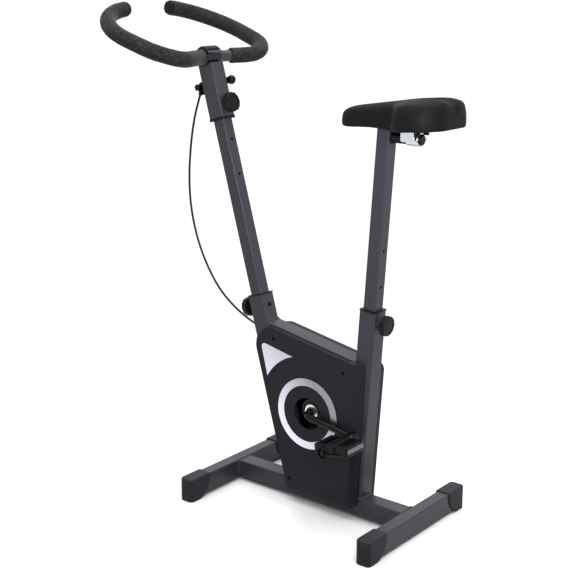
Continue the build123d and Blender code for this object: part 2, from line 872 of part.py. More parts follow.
def tread_cutters(side):
    """Bars that cut the grip grooves across the tops and bottoms of a pedal's treads."""
    with BuildPart() as cutters:
        for face in (-1, 1):
            with BuildSketch(pedal_plane(side).offset(face * pedal_thickness / 2)):
                for end in (-1, 1):
                    with Locations((end * (pedal_length - tread_bar) / 2, 0)):
                        with GridLocations(0, 8, 1, 6):
                            Rectangle(tread_bar + 6, 2.5)
            extrude(amount=tread_groove, both=True)
    return cutters.part


for side_name, side in (("left", 1), ("right", -1)):
    pedal_middle = pedal_plane(side)
    pedal_axle = pedal_axles[side]
    with BuildPart() as pedal_body:
        with BuildSketch(pedal_middle):
            RectangleRounded(pedal_length, pedal_width, 5)
        extrude(amount=pedal_thickness / 2, both=True)
        fillet(pedal_body.edges().filter_by(Axis.Y), radius=3)
        with BuildSketch(pedal_middle):
            with Locations((window_middle, 0), (-window_middle, 0)):
                RectangleRounded(window_length, pedal_width - 2 * end_plate, 3)
        extrude(amount=pedal_thickness, both=True, mode=Mode.SUBTRACT)
        add(tread_cutters(side), mode=Mode.SUBTRACT)
        add(rod(*pedal_axle, side * pedal_inner_y, side * pedal_cap_y, pedal_cap_radius))
        pedal_end = Plane(
            pedal_middle.from_local_coords((0, side * pedal_width / 2, 0)),
            x_dir=pedal_middle.x_dir,
            z_dir=(0, side, 0),
        )
        with BuildSketch(pedal_end.offset(-end_plate)):
            with Locations((lug_place[0], side * lug_place[1])):
                Circle(lug_radius)
        extrude(amount=end_plate + lug_height)
        with BuildSketch(pedal_end.offset(lug_height)):
            with Locations((lug_place[0], side * lug_place[1])):
                Circle(lug_radius - lug_rim)
                Circle(lug_pin, mode=Mode.SUBTRACT)
        extrude(amount=-lug_pocket, mode=Mode.SUBTRACT)
        with BuildSketch(pedal_end):
            with Locations((slot_place[0], side * slot_place[1])):
                RectangleRounded(*slot_size, 2)
        extrude(amount=-slot_depth, mode=Mode.SUBTRACT)
        add(
            rod(*pedal_axle, side * arm_y, side * (pedal_cap_y - 3), spindle_radius + running_gap),
            mode=Mode.SUBTRACT,
        )
        add(reflector_pair(side), mode=Mode.SUBTRACT)
    save(pedal_body.part, f"{side_name}_pedal_body")
    save(reflector_pair(side), f"{side_name}_pedal_reflectors")

# Flywheel on its axle, with the small pulley on the other end
axle_end = 35.5
nut_start = 30.4
nut_end = 34.9
nut_radius = 7.5
save(rod(crank_x, flywheel_z, -axle_end, axle_end, flywheel_axle_radius), "flywheel_axle")
with BuildPart() as flywheel:
    bore = flywheel_axle_radius + running_gap
    add(rod(
        crank_x, flywheel_z, flywheel_inner_y, flywheel_outer_y, flywheel_radius,
        flywheel_rim_radius,
    ))
    add(rod(crank_x, flywheel_z, *flywheel_web, flywheel_rim_radius + web_overlap, bore))
    add(rod(crank_x, flywheel_z, hub_half + 1, nut_start - 0.1, flywheel_hub_radius, bore))
save(flywheel.part, "flywheel")
save(
    grooved_pulley(
        flywheel_z, flywheel_pulley_radius, small_rim, small_hub,
        flywheel_axle_radius + running_gap,
    ),
    "flywheel_pulley",
)
with BuildPart() as flywheel_nuts:
    for side in (1, -1):
        with BuildSketch(across(crank_x, flywheel_z, side * nut_start)):
            RegularPolygon(radius=nut_radius, side_count=6)
            Circle(flywheel_axle_radius + running_gap, mode=Mode.SUBTRACT)
        extrude(amount=side * (nut_end - nut_start))
save(flywheel_nuts.part, "flywheel_nuts")

# Belt round both pulleys
with BuildPart() as drive_belt:
    with BuildSketch(upright(belt_y + belt_width / 2)):
        for extra, belt_mode in ((belt_gap + belt_thickness, Mode.ADD), (belt_gap, Mode.SUBTRACT)):
            with BuildSketch(mode=Mode.PRIVATE) as belt_circles:
                with Locations((crank_x, crank_z)):
                    Circle(drive_pulley_radius + extra)
                with Locations((crank_x, flywheel_z)):
                    Circle(flywheel_pulley_radius + extra)
            make_hull(belt_circles.edges(), mode=belt_mode)
    extrude(amount=belt_width)
save(drive_belt.part, "drive_belt")

# Brake strap: hooked on a stud, under the flywheel and up to the spring
strap_radius_mid = flywheel_radius + strap_gap + strap_thickness / 2


def tangent_angle(point, turn):
    """Angle about the flywheel where a line from a point touches the strap's circle."""
    dx = point[0] - crank_x
    dz = point[1] - flywheel_z
    return atan2(dz, dx) + turn * acos(strap_radius_mid / hypot(dx, dz))


def round_flywheel(angle):
    return (
        crank_x + strap_radius_mid * cos(angle),
        flywheel_z + strap_radius_mid * sin(angle),
    )


rear_touch = tangent_angle(strap_stud, 1)
front_touch = tangent_angle(strap_front, -1) + 2 * pi
with BuildPart() as brake_strap:
    with BuildSketch(upright(flywheel_outer_y - 2)):
        with BuildLine():
            Line(strap_stud, round_flywheel(rear_touch))
            ThreePointArc(
                round_flywheel(rear_touch),
                round_flywheel((rear_touch + front_touch) / 2),
                round_flywheel(front_touch),
            )
            Line(round_flywheel(front_touch), strap_front)
        trace(line_width=strap_thickness)
        with Locations(strap_stud):
            Circle(strap_eye_radius)
    extrude(amount=strap_width)
    add(rod(*strap_stud, 0, 2 * flywheel_outer_y, stud_radius + running_gap), mode=Mode.SUBTRACT)
save(brake_strap.part, "brake_strap")

cable_end = cable_route[-1]
spring_radius = 5.0
spring_gap = 0.7
with BuildPart() as brake_spring:
    with BuildSketch(Plane((cable_end[0], cable_end[1], strap_front[1] + running_gap))):
        Circle(spring_radius)
    extrude(amount=cable_end[2] - strap_front[1] - spring_gap)
save(brake_spring.part, "brake_spring")

# Tension cable: straight runs joined by arcs as large as the runs allow
runs = [Vector(b) - Vector(a) for a, b in zip(cable_route, cable_route[1:])]
cable_radii = []
for run_in, run_out in zip(runs, runs[1:]):
    half_turn = radians(run_in.get_angle(run_out)) / 2
    cable_radii.append(0.45 * min(run_in.length, run_out.length) / tan(half_turn))
print("cable radii", [round(r) for r in cable_radii])
with BuildPart() as tension_cable:
    with BuildLine() as cable_line:
        FilletPolyline(*cable_route, radius=cable_radii)
    with BuildSketch(Plane(cable_route[0], z_dir=runs[0])):
        Circle(cable_radius)
    sweep(path=cable_line.wire())
cable_length = cable_line.wire().length
print("cable length", round(cable_length, 1), "volume ratio",
      round(tension_cable.part.volume / (pi * cable_radius**2 * cable_length), 4))
save(tension_cable.part, "tension_cable")

# Stem: a sleeve over the front post, with the handlebar's seat on top
bar_s = front_plane.to_local_coords(Vector(bar_x, 0, bar_z)).Z
clamp_gap = 0.4
bolt_radius = 2.5
bar_centre = (bar_x, 0, bar_z)


clamp_a = radians(front_lean + clamp_turn)
clamp_frame = Plane(
    bar_centre, x_dir=(cos(clamp_a), 0, -sin(clamp_a)), z_dir=(sin(clamp_a), 0, cos(clamp_a))
)
clamp_side = upright(clamp_half, clamp_frame, bar_centre)
bolt_reach_in = 7.0


def clamp_bolts(radius, low, high):
    """Four bars across the clamp's split, at the bolts' places."""
    with BuildPart() as bolts:
        for t in (-clamp_bolt_t, clamp_bolt_t):
            for y in (-clamp_bolt_y, clamp_bolt_y):
                centre = clamp_frame.from_local_coords((t, y, low))
                with BuildSketch(
                    Plane(centre, x_dir=clamp_frame.x_dir, z_dir=clamp_frame.z_dir)
                ):
                    Circle(radius)
                extrude(amount=high - low)
    return bolts.part


with BuildPart() as stem_tube:
    stem_top_s = bar_s - stem_top_drop
    add(hollow_bar(
        front_plane, socket_depth, socket_width, stem_top_s - stem_bottom_s - stem_flange,
        stem_bottom_s + stem_flange,
    ))
    with BuildSketch(front_plane.offset(stem_top_s - 2 * tube_wall)):
        Rectangle(socket_depth - 2 * tube_wall, socket_width - 2 * tube_wall)
    extrude(amount=2 * tube_wall)
    with BuildSketch(clamp_side):
        Circle(cradle_radius)
        with Locations((0, -cradle_flange / 2)):
            Rectangle(2 * cradle_half, cradle_flange)
        with Locations((0, 2 * clamp_radius - clamp_gap)):
            Rectangle(4 * clamp_radius, 4 * clamp_radius, mode=Mode.SUBTRACT)
    extrude(amount=2 * clamp_half)
    with BuildSketch(clamp_side):
        Circle(bar_radius + running_gap)
    extrude(amount=2 * clamp_half, mode=Mode.SUBTRACT)
    add(clamp_bolts(bolt_radius + running_gap, -bolt_reach_in, 0), mode=Mode.SUBTRACT)
    with BuildSketch(face_plane(front_plane, -half_socket, stem_pin_s, forward=False)):
        Circle(boss_outer)
    extrude(amount=boss_height)
    with BuildSketch(face_plane(front_plane, 0, stem_pin_s, forward=False)):
        Circle(knob_shaft_radius + running_gap)
    extrude(amount=socket_depth, mode=Mode.SUBTRACT)
save(stem_tube.part, "stem_tube")

save(
    guide_bush(front_plane, stem_bottom_s + stem_flange, stem_flange, bush_depth, -1),
    "stem_bush",
)

bolt_seat = 7.0
bolt_head_radius = 4.2
with BuildPart() as handlebar_clamp:
    with BuildSketch(clamp_side):
        Circle(clamp_radius)
        with Locations((0, clamp_gap - 2 * clamp_radius)):
            Rectangle(4 * clamp_radius, 4 * clamp_radius, mode=Mode.SUBTRACT)
    extrude(amount=2 * clamp_half)
    fillet(handlebar_clamp.edges().filter_by(GeomType.CIRCLE), radius=4)
    with BuildSketch(clamp_side):
        Circle(bar_radius + running_gap)
    extrude(amount=2 * clamp_half, mode=Mode.SUBTRACT)
    add(clamp_bolts(bolt_head_radius + 0.3, bolt_seat, 2 * clamp_radius), mode=Mode.SUBTRACT)
    add(clamp_bolts(bolt_radius + running_gap, 0, clamp_radius), mode=Mode.SUBTRACT)
save(handlebar_clamp.part, "handlebar_clamp")

with BuildPart() as handlebar_clamp_bolts:
    add(clamp_bolts(bolt_radius, -bolt_reach_in, bolt_seat))
    add(clamp_bolts(bolt_head_radius, bolt_seat, bolt_seat + 4))
save(handlebar_clamp_bolts.part, "handlebar_clamp_bolts")

# Handlebar: one tube bent back, round and forward on each side, with foam grips


def bar_path(start, corners, end, radii):
    """Centre line through a row of bends."""
    with BuildLine() as line:
        FilletPolyline(start, *corners, end, radius=radii)
    return line.wire()


def tube_along(path, plane, outer, inner):
    """Tube swept along a centre line."""
    with BuildPart() as tube:
        with BuildSketch(plane):
            Circle(outer)
            Circle(inner, mode=Mode.SUBTRACT)
        sweep(path=path)
    return tube.part


first_bend = Vector(bar_corners[0])
first_run = (Vector(bar_corners[1]) - first_bend).normalized()
grip_start = first_bend + first_run * right_grip_start
left_start = Vector(bar_x, left_grip_y, bar_z)
with BuildPart() as handlebar_tube:
    for side in (1, -1):
        half_corners = [(x, side * y, z) for x, y, z in bar_corners]
        half_end = (bar_end[0], side * bar_end[1], bar_end[2])
        half_path = bar_path(bar_centre, half_corners, half_end, bar_radii)
        add(tube_along(half_path, across(bar_x, bar_z, 0), bar_radius, bar_radius - bar_wall))
save(handlebar_tube.part, "handlebar_tube")

grip_bore = bar_radius + grip_bore_gap
left_path = bar_path(left_start, bar_corners, bar_end, bar_radii)
save(
    tube_along(left_path, across(bar_x, bar_z, left_grip_y), grip_radius, grip_bore),
    "left_grip",
)
grip_path = bar_path(grip_start, bar_corners[1:], bar_end, bar_radii[1:])
grip_half = tube_along(grip_path, Plane(grip_start, z_dir=first_run), grip_radius, grip_bore)
with BuildPart() as right_grip:
    add(grip_half)
    mirror(about=Plane.XZ, mode=Mode.REPLACE)
save(right_grip.part, "right_grip")

end_run = (Vector(bar_end) - Vector(bar_corners[-1])).normalized()
end_plane = Plane(bar_end, z_dir=end_run)
with BuildPart() as bar_end_plugs:
    with BuildSketch(end_plane):
        Circle(grip_radius - 1.5)
    extrude(amount=5)
    fillet(bar_end_plugs.edges().sort_by(SortBy.DISTANCE)[-1:], radius=3)
    with BuildSketch(end_plane):
        Circle(bar_radius - bar_wall - 0.1)
    extrude(amount=-15)
    mirror(about=Plane.XZ)
save(bar_end_plugs.part, "bar_end_plugs")

# Tension lever on a bracket ahead of the stem
stem_frame = Plane(
    on_tube(front_plane, 0, 0, lever_s), x_dir=front_plane.x_dir, z_dir=(0, -1, 0)
)
bracket_y = -2.8
bracket_plate = 4.0
lever_y = -22.5
lever_plate = 5.0
lever_width = 14.0
pivot_radius = 4.0
hub_radius = 8.0
stop_radius = 4.5
stop_length = 6.0
ball_y = -32.0
pivot_head = 10.0
pivot_nut = 3.5
pivot_point = on_tube(front_plane, lever_pivot_t, 0, lever_s)
ball_centre = on_tube(front_plane, lever_ball_t, ball_y, lever_s)
ball_radius = 10.0


def lever_rod(y_from, y_to, radius, bore=0.0):
    """Round piece on the lever's pivot."""
    return rod(pivot_point.X, pivot_point.Z, y_from, y_to, radius, bore)


with BuildPart() as lever_bracket:
    with BuildSketch(stem_frame.offset(-bracket_y)):
        with BuildLine():
            Polyline(
                (half_socket, 15), (lever_pivot_t, 9), (lever_pivot_t + 8, 0),
                (lever_pivot_t + 6, -16), (half_socket, -22), close=True,
            )
        make_face()
        fillet(vertices().group_by(Axis.X)[-1], radius=3)
    extrude(amount=bracket_plate)
    with BuildSketch(Plane(cable_route[0], z_dir=-runs[0])):
        Circle(stop_radius)
    extrude(amount=stop_length)
    add(lever_rod(-30, 30, pivot_radius + running_gap), mode=Mode.SUBTRACT)
save(lever_bracket.part, "lever_bracket")

bracket_right_y = bracket_y - bracket_plate
lever_right_y = lever_y - lever_plate
with BuildPart() as lever_pivot_bolt:
    add(lever_rod(lever_right_y - pivot_nut, bracket_y, pivot_radius))
    add(lever_rod(bracket_y, bracket_y + pivot_head, hub_radius - 1))
    add(lever_rod(lever_right_y - pivot_nut, lever_right_y - slide_gap, hub_radius - 1))
save(lever_pivot_bolt.part, "lever_pivot_bolt")

with BuildPart() as tension_lever:
    with BuildSketch(stem_frame.offset(-lever_y)):
        lever_length = lever_pivot_t - lever_ball_t
        with Locations(((lever_pivot_t + lever_ball_t) / 2, 0)):
            SlotCenterToCenter(lever_length, lever_width)
    extrude(amount=lever_plate)
    add(lever_rod(bracket_right_y - slide_gap, lever_y, hub_radius))
    add(lever_rod(-40, 20, pivot_radius + running_gap), mode=Mode.SUBTRACT)
save(tension_lever.part, "tension_lever")

with BuildPart() as lever_ball:
    with Locations(ball_centre):
        Sphere(ball_radius)
    add(tension_lever.part, mode=Mode.SUBTRACT)
save(lever_ball.part.solids().sort_by(SortBy.VOLUME)[-1], "lever_ball")

# Lock knobs: a lobed head on a neck, with a shaft that stops just short of the post
knob_head = 12.0
knob_core = 20.8
knob_lobes = 12
lobe_radius = 3.2
lobe_ring = 18.4
knob_neck = 9.5
knob_groove = (11.0, 13.0)  # ring let into the face
knob_groove_depth = 1.0


def lock_knob(face, neck_start, head_start, shaft_from, shaft_radius):
    """Knob on a plane whose normal points away from the tube."""
    with BuildPart() as knob:
        with BuildSketch(face.offset(shaft_from)):
            Circle(shaft_radius)
        extrude(amount=neck_start - shaft_from)
        with BuildSketch(face.offset(neck_start)):
            Circle(knob_neck)
        extrude(amount=head_start - neck_start)
        with BuildSketch(face.offset(head_start)):
            Circle(knob_core)
            with PolarLocations(lobe_ring, knob_lobes):
                Circle(lobe_radius)
        extrude(amount=knob_head)
        fillet(knob.faces().sort_by(Axis(face.origin, face.z_dir))[-1].edges(), radius=2.5)
        with BuildSketch(face.offset(head_start + knob_head)):
            Circle(knob_groove[1])
            Circle(knob_groove[0], mode=Mode.SUBTRACT)
        extrude(amount=-knob_groove_depth, mode=Mode.SUBTRACT)
    return knob.part


post_reach = half_socket - half_post - slide_gap
seat_face = face_plane(seat_plane, -half_socket, seat_pin_s, forward=False)
stem_face = face_plane(front_plane, -half_socket, stem_pin_s, forward=False)
front_face = face_plane(front_plane, half_socket, front_bolt_s)
pin_neck = boss_height + 0.5
pin_head = 11.0
bolt_neck = 0.5
bolt_head = 14.0
bolt_reach = socket_depth + 3.0
save(lock_knob(seat_face, pin_neck, pin_head, -post_reach, knob_shaft_radius), "seat_knob")
save(lock_knob(stem_face, pin_neck, pin_head, -post_reach, knob_shaft_radius), "stem_knob")
save(lock_knob(front_face, bolt_neck, bolt_head, -bolt_reach, front_bolt_radius), "front_knob")

# Seat arm, saddle clamp and saddle bracket
arm_plane = Plane((arm_end_x, 0, arm_z), x_dir=(0, 1, 0), z_dir=(1, 0, 0))
with BuildPart() as seat_arm:
    with BuildSketch(arm_plane):
        Circle(arm_bar_radius)
    extrude(amount=seat_foot_x - arm_end_x)
    fillet(seat_arm.edges().sort_by(Axis.X)[0], radius=4)
    split(bisect_by=face_plane(seat_plane, -half_post, 0), keep=Keep.BOTTOM)
save(seat_arm.part, "seat_arm")

sleeve_radius = 14.0
ear_length = 30.0
ear_low_z = 824.0
ear_top_z = 857.0
flange_top_z = 829.0
tilt_bolt_radius = 4.0
tilt_head_radius = 7.0
tilt_head = 5.0
ear_outer_y = ear_inner_y + plate
cheek_outer_y = cheek_inner_y + plate
with BuildPart() as saddle_clamp:
    with BuildSketch(Plane((clamp_x - clamp_length / 2, 0, arm_z), x_dir=(0, 1, 0), z_dir=(1, 0, 0))):
        Circle(sleeve_radius)
        with Locations((0, (ear_low_z + flange_top_z) / 2 - arm_z)):
            Rectangle(2 * ear_outer_y, flange_top_z - ear_low_z)
    extrude(amount=clamp_length)
    for side in (1, -1):
        with BuildSketch(upright(side * (ear_inner_y + plate / 2))):
            with Locations((tilt_x, (ear_low_z + ear_top_z) / 2)):
                RectangleRounded(ear_length, ear_top_z - ear_low_z, 4)
        extrude(amount=plate / 2, both=True)
    with BuildSketch(Plane((arm_end_x - 10, 0, arm_z), x_dir=(0, 1, 0), z_dir=(1, 0, 0))):
        Circle(arm_bar_radius + running_gap)
    extrude(amount=120, mode=Mode.SUBTRACT)
    add(rod(tilt_x, tilt_z, -30, 30, tilt_bolt_radius + running_gap), mode=Mode.SUBTRACT)
save(saddle_clamp.part, "saddle_clamp")

with BuildPart() as saddle_clamp_bolt:
    add(rod(tilt_x, tilt_z, -ear_outer_y, ear_outer_y, tilt_bolt_radius))
    for side in (1, -1):
        with BuildSketch(across(tilt_x, tilt_z, side * ear_outer_y)):
            RegularPolygon(radius=tilt_head_radius, side_count=6)
        extrude(amount=side * tilt_head)
save(saddle_clamp_bolt.part, "saddle_clamp_bolt")

bracket_front_x = tilt_x + 12
bracket_rear_x = crank_x - 251.0
bracket_low_z = 836.0
rivet_x = crank_x - 246.0
rivet_z = 846.0
rivet_radius = 3.0
rivet_height = 3.0
with BuildPart() as saddle_bracket:
    with BuildSketch(Plane.YZ.offset(bracket_rear_x)):
        with Locations((0, (bracket_low_z + pan_bottom_z) / 2)):
            Rectangle(2 * cheek_outer_y, pan_bottom_z - bracket_low_z)
        with Locations((0, (bracket_low_z + pan_bottom_z) / 2 - plate)):
            Rectangle(2 * cheek_inner_y, pan_bottom_z - bracket_low_z, mode=Mode.SUBTRACT)
    extrude(amount=bracket_front_x - bracket_rear_x)
    add(rod(tilt_x, tilt_z, -30, 30, tilt_bolt_radius + running_gap), mode=Mode.SUBTRACT)
    for side in (1, -1):
        rivet_end = side * (cheek_outer_y + rivet_height)
        add(rod(rivet_x, rivet_z, side * cheek_outer_y, rivet_end, rivet_radius))
save(saddle_bracket.part, "saddle_bracket")

# Saddle: a crowned cushion with drawn-in sides over a hollow, and a pan in the hollow
saddle_stations = [  # distance behind the crank axle, half width, bottom and top height
    (65.0, 14.0, 850.5, 869.0),
    (70.5, 22.0, 845.5, 877.0),
    (86.0, 28.5, 844.0, 883.5),
    (112.0, 31.0, 845.5, 888.5),
    (142.0, 32.5, 847.0, 893.0),
    (172.0, 34.0, 847.5, 897.5),
    (196.0, 38.5, 848.0, 901.0),
    (211.0, 54.0, 848.0, 903.3),
    (224.0, 73.0, 848.5, 905.2),
    (246.0, 83.0, 850.0, 908.2),
    (272.0, 82.0, 852.0, 910.8),
    (292.0, 74.0, 853.0, 911.5),
    (306.0, 61.0, 853.5, 909.0),
    (313.0, 50.0, 853.5, 904.5),
    (318.0, 37.0, 854.0, 897.0),
]
saddle_foot = 0.98
saddle_waist = 0.40
saddle_shoulder = 0.84
saddle_rim = 0.15
with BuildPart() as saddle_cushion:
    for behind, half_width, low, high in saddle_stations:
        height = high - low
        with BuildSketch(Plane.YZ.offset(crank_x - behind)):
            with BuildLine():
                foot = half_width * saddle_foot
                waist = (half_width, low + saddle_waist * height)
                rim = (half_width * saddle_shoulder, high - saddle_rim * height)
                Line((-foot, low), (foot, low))
                ThreePointArc((foot, low), waist, rim)
                ThreePointArc(rim, (0, high), (-rim[0], rim[1]))
                ThreePointArc((-rim[0], rim[1]), (-waist[0], waist[1]), (-foot, low))
            make_face()
    loft()

pan_outline = [
    (crank_x - 120.0, 18.0),
    (crank_x - 186.0, 25.0),
    (crank_x - 222.0, 52.0),
    (crank_x - 280.0, 58.0),
    (crank_x - 298.0, 44.0),
]
pan_points = pan_outline + [(x, -y) for x, y in reversed(pan_outline)]


def pan_block(low, high, inset):
    """Block of the saddle pan's outline."""
    with BuildPart() as block:
        with BuildSketch(Plane.XY.offset(low)):
            with BuildLine():
                FilletPolyline(*pan_points, radius=8, close=True)
            make_face()
            if inset:
                offset(amount=-inset)
        extrude(amount=high - low)
    return block.part


saddle_hollow = pan_block(pan_bottom_z - 60, pan_top_z, 0)
with BuildPart() as saddle_padding:
    add(saddle_cushion.part)
    add(saddle_hollow, mode=Mode.SUBTRACT)
save(saddle_padding.part, "saddle_cushion")
save(pan_block(pan_bottom_z, pan_top_z, 0.3), "saddle_pan")
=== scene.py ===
"""Looks of an upright exercise bike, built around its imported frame.

Metres, +X forward, +Y left, +Z up.
"""

import json
from math import pi, radians, sin

import bmesh
import bpy
from mathutils import Matrix, Vector


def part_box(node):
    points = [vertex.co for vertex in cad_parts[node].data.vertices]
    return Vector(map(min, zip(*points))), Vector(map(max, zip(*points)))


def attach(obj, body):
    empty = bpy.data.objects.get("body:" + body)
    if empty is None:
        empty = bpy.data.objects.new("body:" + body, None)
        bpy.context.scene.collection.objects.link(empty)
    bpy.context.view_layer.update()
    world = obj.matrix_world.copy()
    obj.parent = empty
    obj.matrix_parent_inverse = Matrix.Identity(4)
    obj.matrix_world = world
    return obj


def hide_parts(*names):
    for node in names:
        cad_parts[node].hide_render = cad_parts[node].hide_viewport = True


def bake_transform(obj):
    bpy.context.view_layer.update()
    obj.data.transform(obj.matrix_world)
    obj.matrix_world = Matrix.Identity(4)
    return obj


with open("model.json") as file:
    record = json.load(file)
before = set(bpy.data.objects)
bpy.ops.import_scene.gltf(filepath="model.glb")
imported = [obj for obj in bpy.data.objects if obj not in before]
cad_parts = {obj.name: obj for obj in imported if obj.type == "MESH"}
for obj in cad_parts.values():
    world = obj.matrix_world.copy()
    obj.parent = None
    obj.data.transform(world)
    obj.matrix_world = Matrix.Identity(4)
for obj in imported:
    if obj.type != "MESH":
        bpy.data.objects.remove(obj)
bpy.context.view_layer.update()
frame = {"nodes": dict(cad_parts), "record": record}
nodes = frame["nodes"]
scene = bpy.context.scene
scene.view_settings.view_transform = "Standard"

# Camera at the photograph's viewing angle
camera_place = Vector((-1.5885, 1.9705, 1.1474))
camera_aim = Vector((0.6076, -0.7529, -0.2530))
camera_lens = 76.38
camera_sensor = 36.0
camera_reach = 300.0

# Tension cable, from the stop on the stem to the brake spring inside the casing
cable_diameter = 0.005
cable_route = [
    (0.2394, 0.0, 0.8782),
    (0.2512, 0.0, 0.8490),
    (0.2642, 0.0, 0.8030),
    (0.2732, 0.0, 0.7480),
    (0.2782, 0.0, 0.6900),
    (0.2760, -0.0005, 0.6295),
    (0.2633, -0.0010, 0.5690),
    (0.2415, -0.0035, 0.5095),
    (0.2073, -0.0090, 0.4480),
    (0.1651, -0.0160, 0.4048),
    (0.1131, -0.0245, 0.3724),
    (0.0657, -0.0288, 0.3575),
    (0.0277, -0.0282, 0.3520),
    (0.0087, -0.0235, 0.3400),
    (-0.0043, -0.0090, 0.3200),
    (-0.0118, 0.0090, 0.2980),
    (-0.0143, 0.0215, 0.2760),
    (-0.0148, 0.0260, 0.2560),
]


def srgb(red, green, blue):
    """Linear colour of an eight bit screen colour."""
    def linear(value):
        share = value / 255
        return share / 12.92 if share <= 0.04045 else ((share + 0.055) / 1.055) ** 2.4
    return (linear(red), linear(green), linear(blue), 1.0)


def shade(colour, gain):
    """The same colour, lighter or darker."""
    return (colour[0] * gain, colour[1] * gain, colour[2] * gain, 1.0)


# Node helpers
def add_node(tree, kind, settings=(), values=(), links=()):
    """A shader node with its settings, socket values and incoming links."""
    made = tree.nodes.new(kind)
    for name, value in dict(settings).items():
        setattr(made, name, value)
    for name, value in dict(values).items():
        made.inputs[name].default_value = value
    for name, source in dict(links).items():
        tree.links.new(source, made.inputs[name])
    return made


def math_node(tree, operation, first, second=None, clamp=False):
    """Output of a Math node; a number or a socket for each side."""
    made = tree.nodes.new("ShaderNodeMath")
    made.operation = operation
    made.use_clamp = clamp
    for place, value in ((0, first), (1, second)):
        if value is None:
            continue
        if isinstance(value, (int, float)):
            made.inputs[place].default_value = value
        else:
            tree.links.new(value, made.inputs[place])
    return made.outputs[0]


def mix_colour(tree, factor, first, second):
    """Output of a colour mix; a colour or a socket for each side."""
    made = tree.nodes.new("ShaderNodeMix")
    made.data_type = "RGBA"
    tree.links.new(factor, made.inputs[0])
    for place, value in ((6, first), (7, second)):
        if isinstance(value, tuple):
            made.inputs[place].default_value = value
        else:
            tree.links.new(value, made.inputs[place])
    return made.outputs[2]


def spread(tree, source, low, high):
    """Output that runs from low to high as the source runs from 0 to 1."""
    made = add_node(
        tree, "ShaderNodeMapRange", values={"To Min": low, "To Max": high}, links={"Value": source}
    )
    return made.outputs["Result"]


def shader_group(name, inputs, outputs):
    """Empty node group with named number inputs and named outputs."""
    group = bpy.data.node_groups.new(name, "ShaderNodeTree")
    for label, value in inputs.items():
        socket = group.interface.new_socket(
            name=label, in_out="INPUT", socket_type="NodeSocketFloat"
        )
        socket.default_value = value
    for label, kind in outputs.items():
        group.interface.new_socket(name=label, in_out="OUTPUT", socket_type=kind)
    entry = group.nodes.new("NodeGroupInput").outputs
    leave = group.nodes.new("NodeGroupOutput").inputs
    return group, entry, leave


def place_group(tree, group, values):
    """A group placed in a material with its own values."""
    made = tree.nodes.new("ShaderNodeGroup")
    made.node_tree = group
    for name, value in values.items():
        made.inputs[name].default_value = value
    return made.outputs


# Shared effects
edge_mask_gain = 5.0
patch_range = (0.32, 0.68)  # the part of the noise that is spread over the patches
scratch_stretch = (1.0, 0.03, 1.0)  # long along Y


def softened_edge_group():
    """Rounds the light on sharp edges, and marks where they are rubbed."""
    group, entry, leave = shader_group(
        "softened_edge",
        {"Radius": 0.0008},
        {"Normal": "NodeSocketVector", "Mask": "NodeSocketFloat"},
    )
    bevel = add_node(group, "ShaderNodeBevel", {"samples": 6}, links={"Radius": entry["Radius"]})
    geometry = add_node(group, "ShaderNodeNewGeometry")
    facing = add_node(
        group,
        "ShaderNodeVectorMath",
        {"operation": "DOT_PRODUCT"},
        links={0: bevel.outputs[0], 1: geometry.outputs["Normal"]},
    )
    turned = math_node(group, "SUBTRACT", 1.0, facing.outputs["Value"])
    mask = math_node(group, "MULTIPLY", turned, edge_mask_gain, clamp=True)
    group.links.new(bevel.outputs[0], leave["Normal"])
    group.links.new(mask, leave["Mask"])
    return group


def fine_grain_group():
    """Pebbled surface of paint or moulded plastic, with broad uneven patches."""
    group, entry, leave = shader_group(
        "fine_grain",
        {"Grain Scale": 900.0, "Patch Scale": 14.0},
        {"Height": "NodeSocketFloat", "Patch": "NodeSocketFloat"},
    )
    where = add_node(group, "ShaderNodeTexCoord").outputs["Object"]
    grain = add_node(
        group,
        "ShaderNodeTexNoise",
        values={"Detail": 2.0, "Roughness": 0.5},
        links={"Vector": where, "Scale": entry["Grain Scale"]},
    )
    patch = add_node(
        group,
        "ShaderNodeTexNoise",
        values={"Detail": 5.0, "Roughness": 0.62},
        links={"Vector": where, "Scale": entry["Patch Scale"]},
    )
    sharpened = add_node(
        group,
        "ShaderNodeMapRange",
        values={"From Min": patch_range[0], "From Max": patch_range[1]},
        links={"Value": patch.outputs["Fac"]},
    )
    group.links.new(grain.outputs["Fac"], leave["Height"])
    group.links.new(sharpened.outputs["Result"], leave["Patch"])
    return group


def brushing_group():
    """Fine parallel scratches that run along Y, for metal."""
    group, entry, leave = shader_group(
        "brushing",
        {"Scale": 1400.0},
        {"Height": "NodeSocketFloat"},
    )
    where = add_node(group, "ShaderNodeTexCoord").outputs["Object"]
    drawn = add_node(
        group,
        "ShaderNodeMapping",
        {"vector_type": "POINT"},
        {"Scale": scratch_stretch},
        {"Vector": where},
    )
    lines = add_node(
        group,
        "ShaderNodeTexNoise",
        values={"Detail": 3.0},
        links={"Vector": drawn.outputs["Vector"], "Scale": entry["Scale"]},
    )
    group.links.new(lines.outputs["Fac"], leave["Height"])
    return group


softened_edge = softened_edge_group()
fine_grain = fine_grain_group()
brushing = brushing_group()


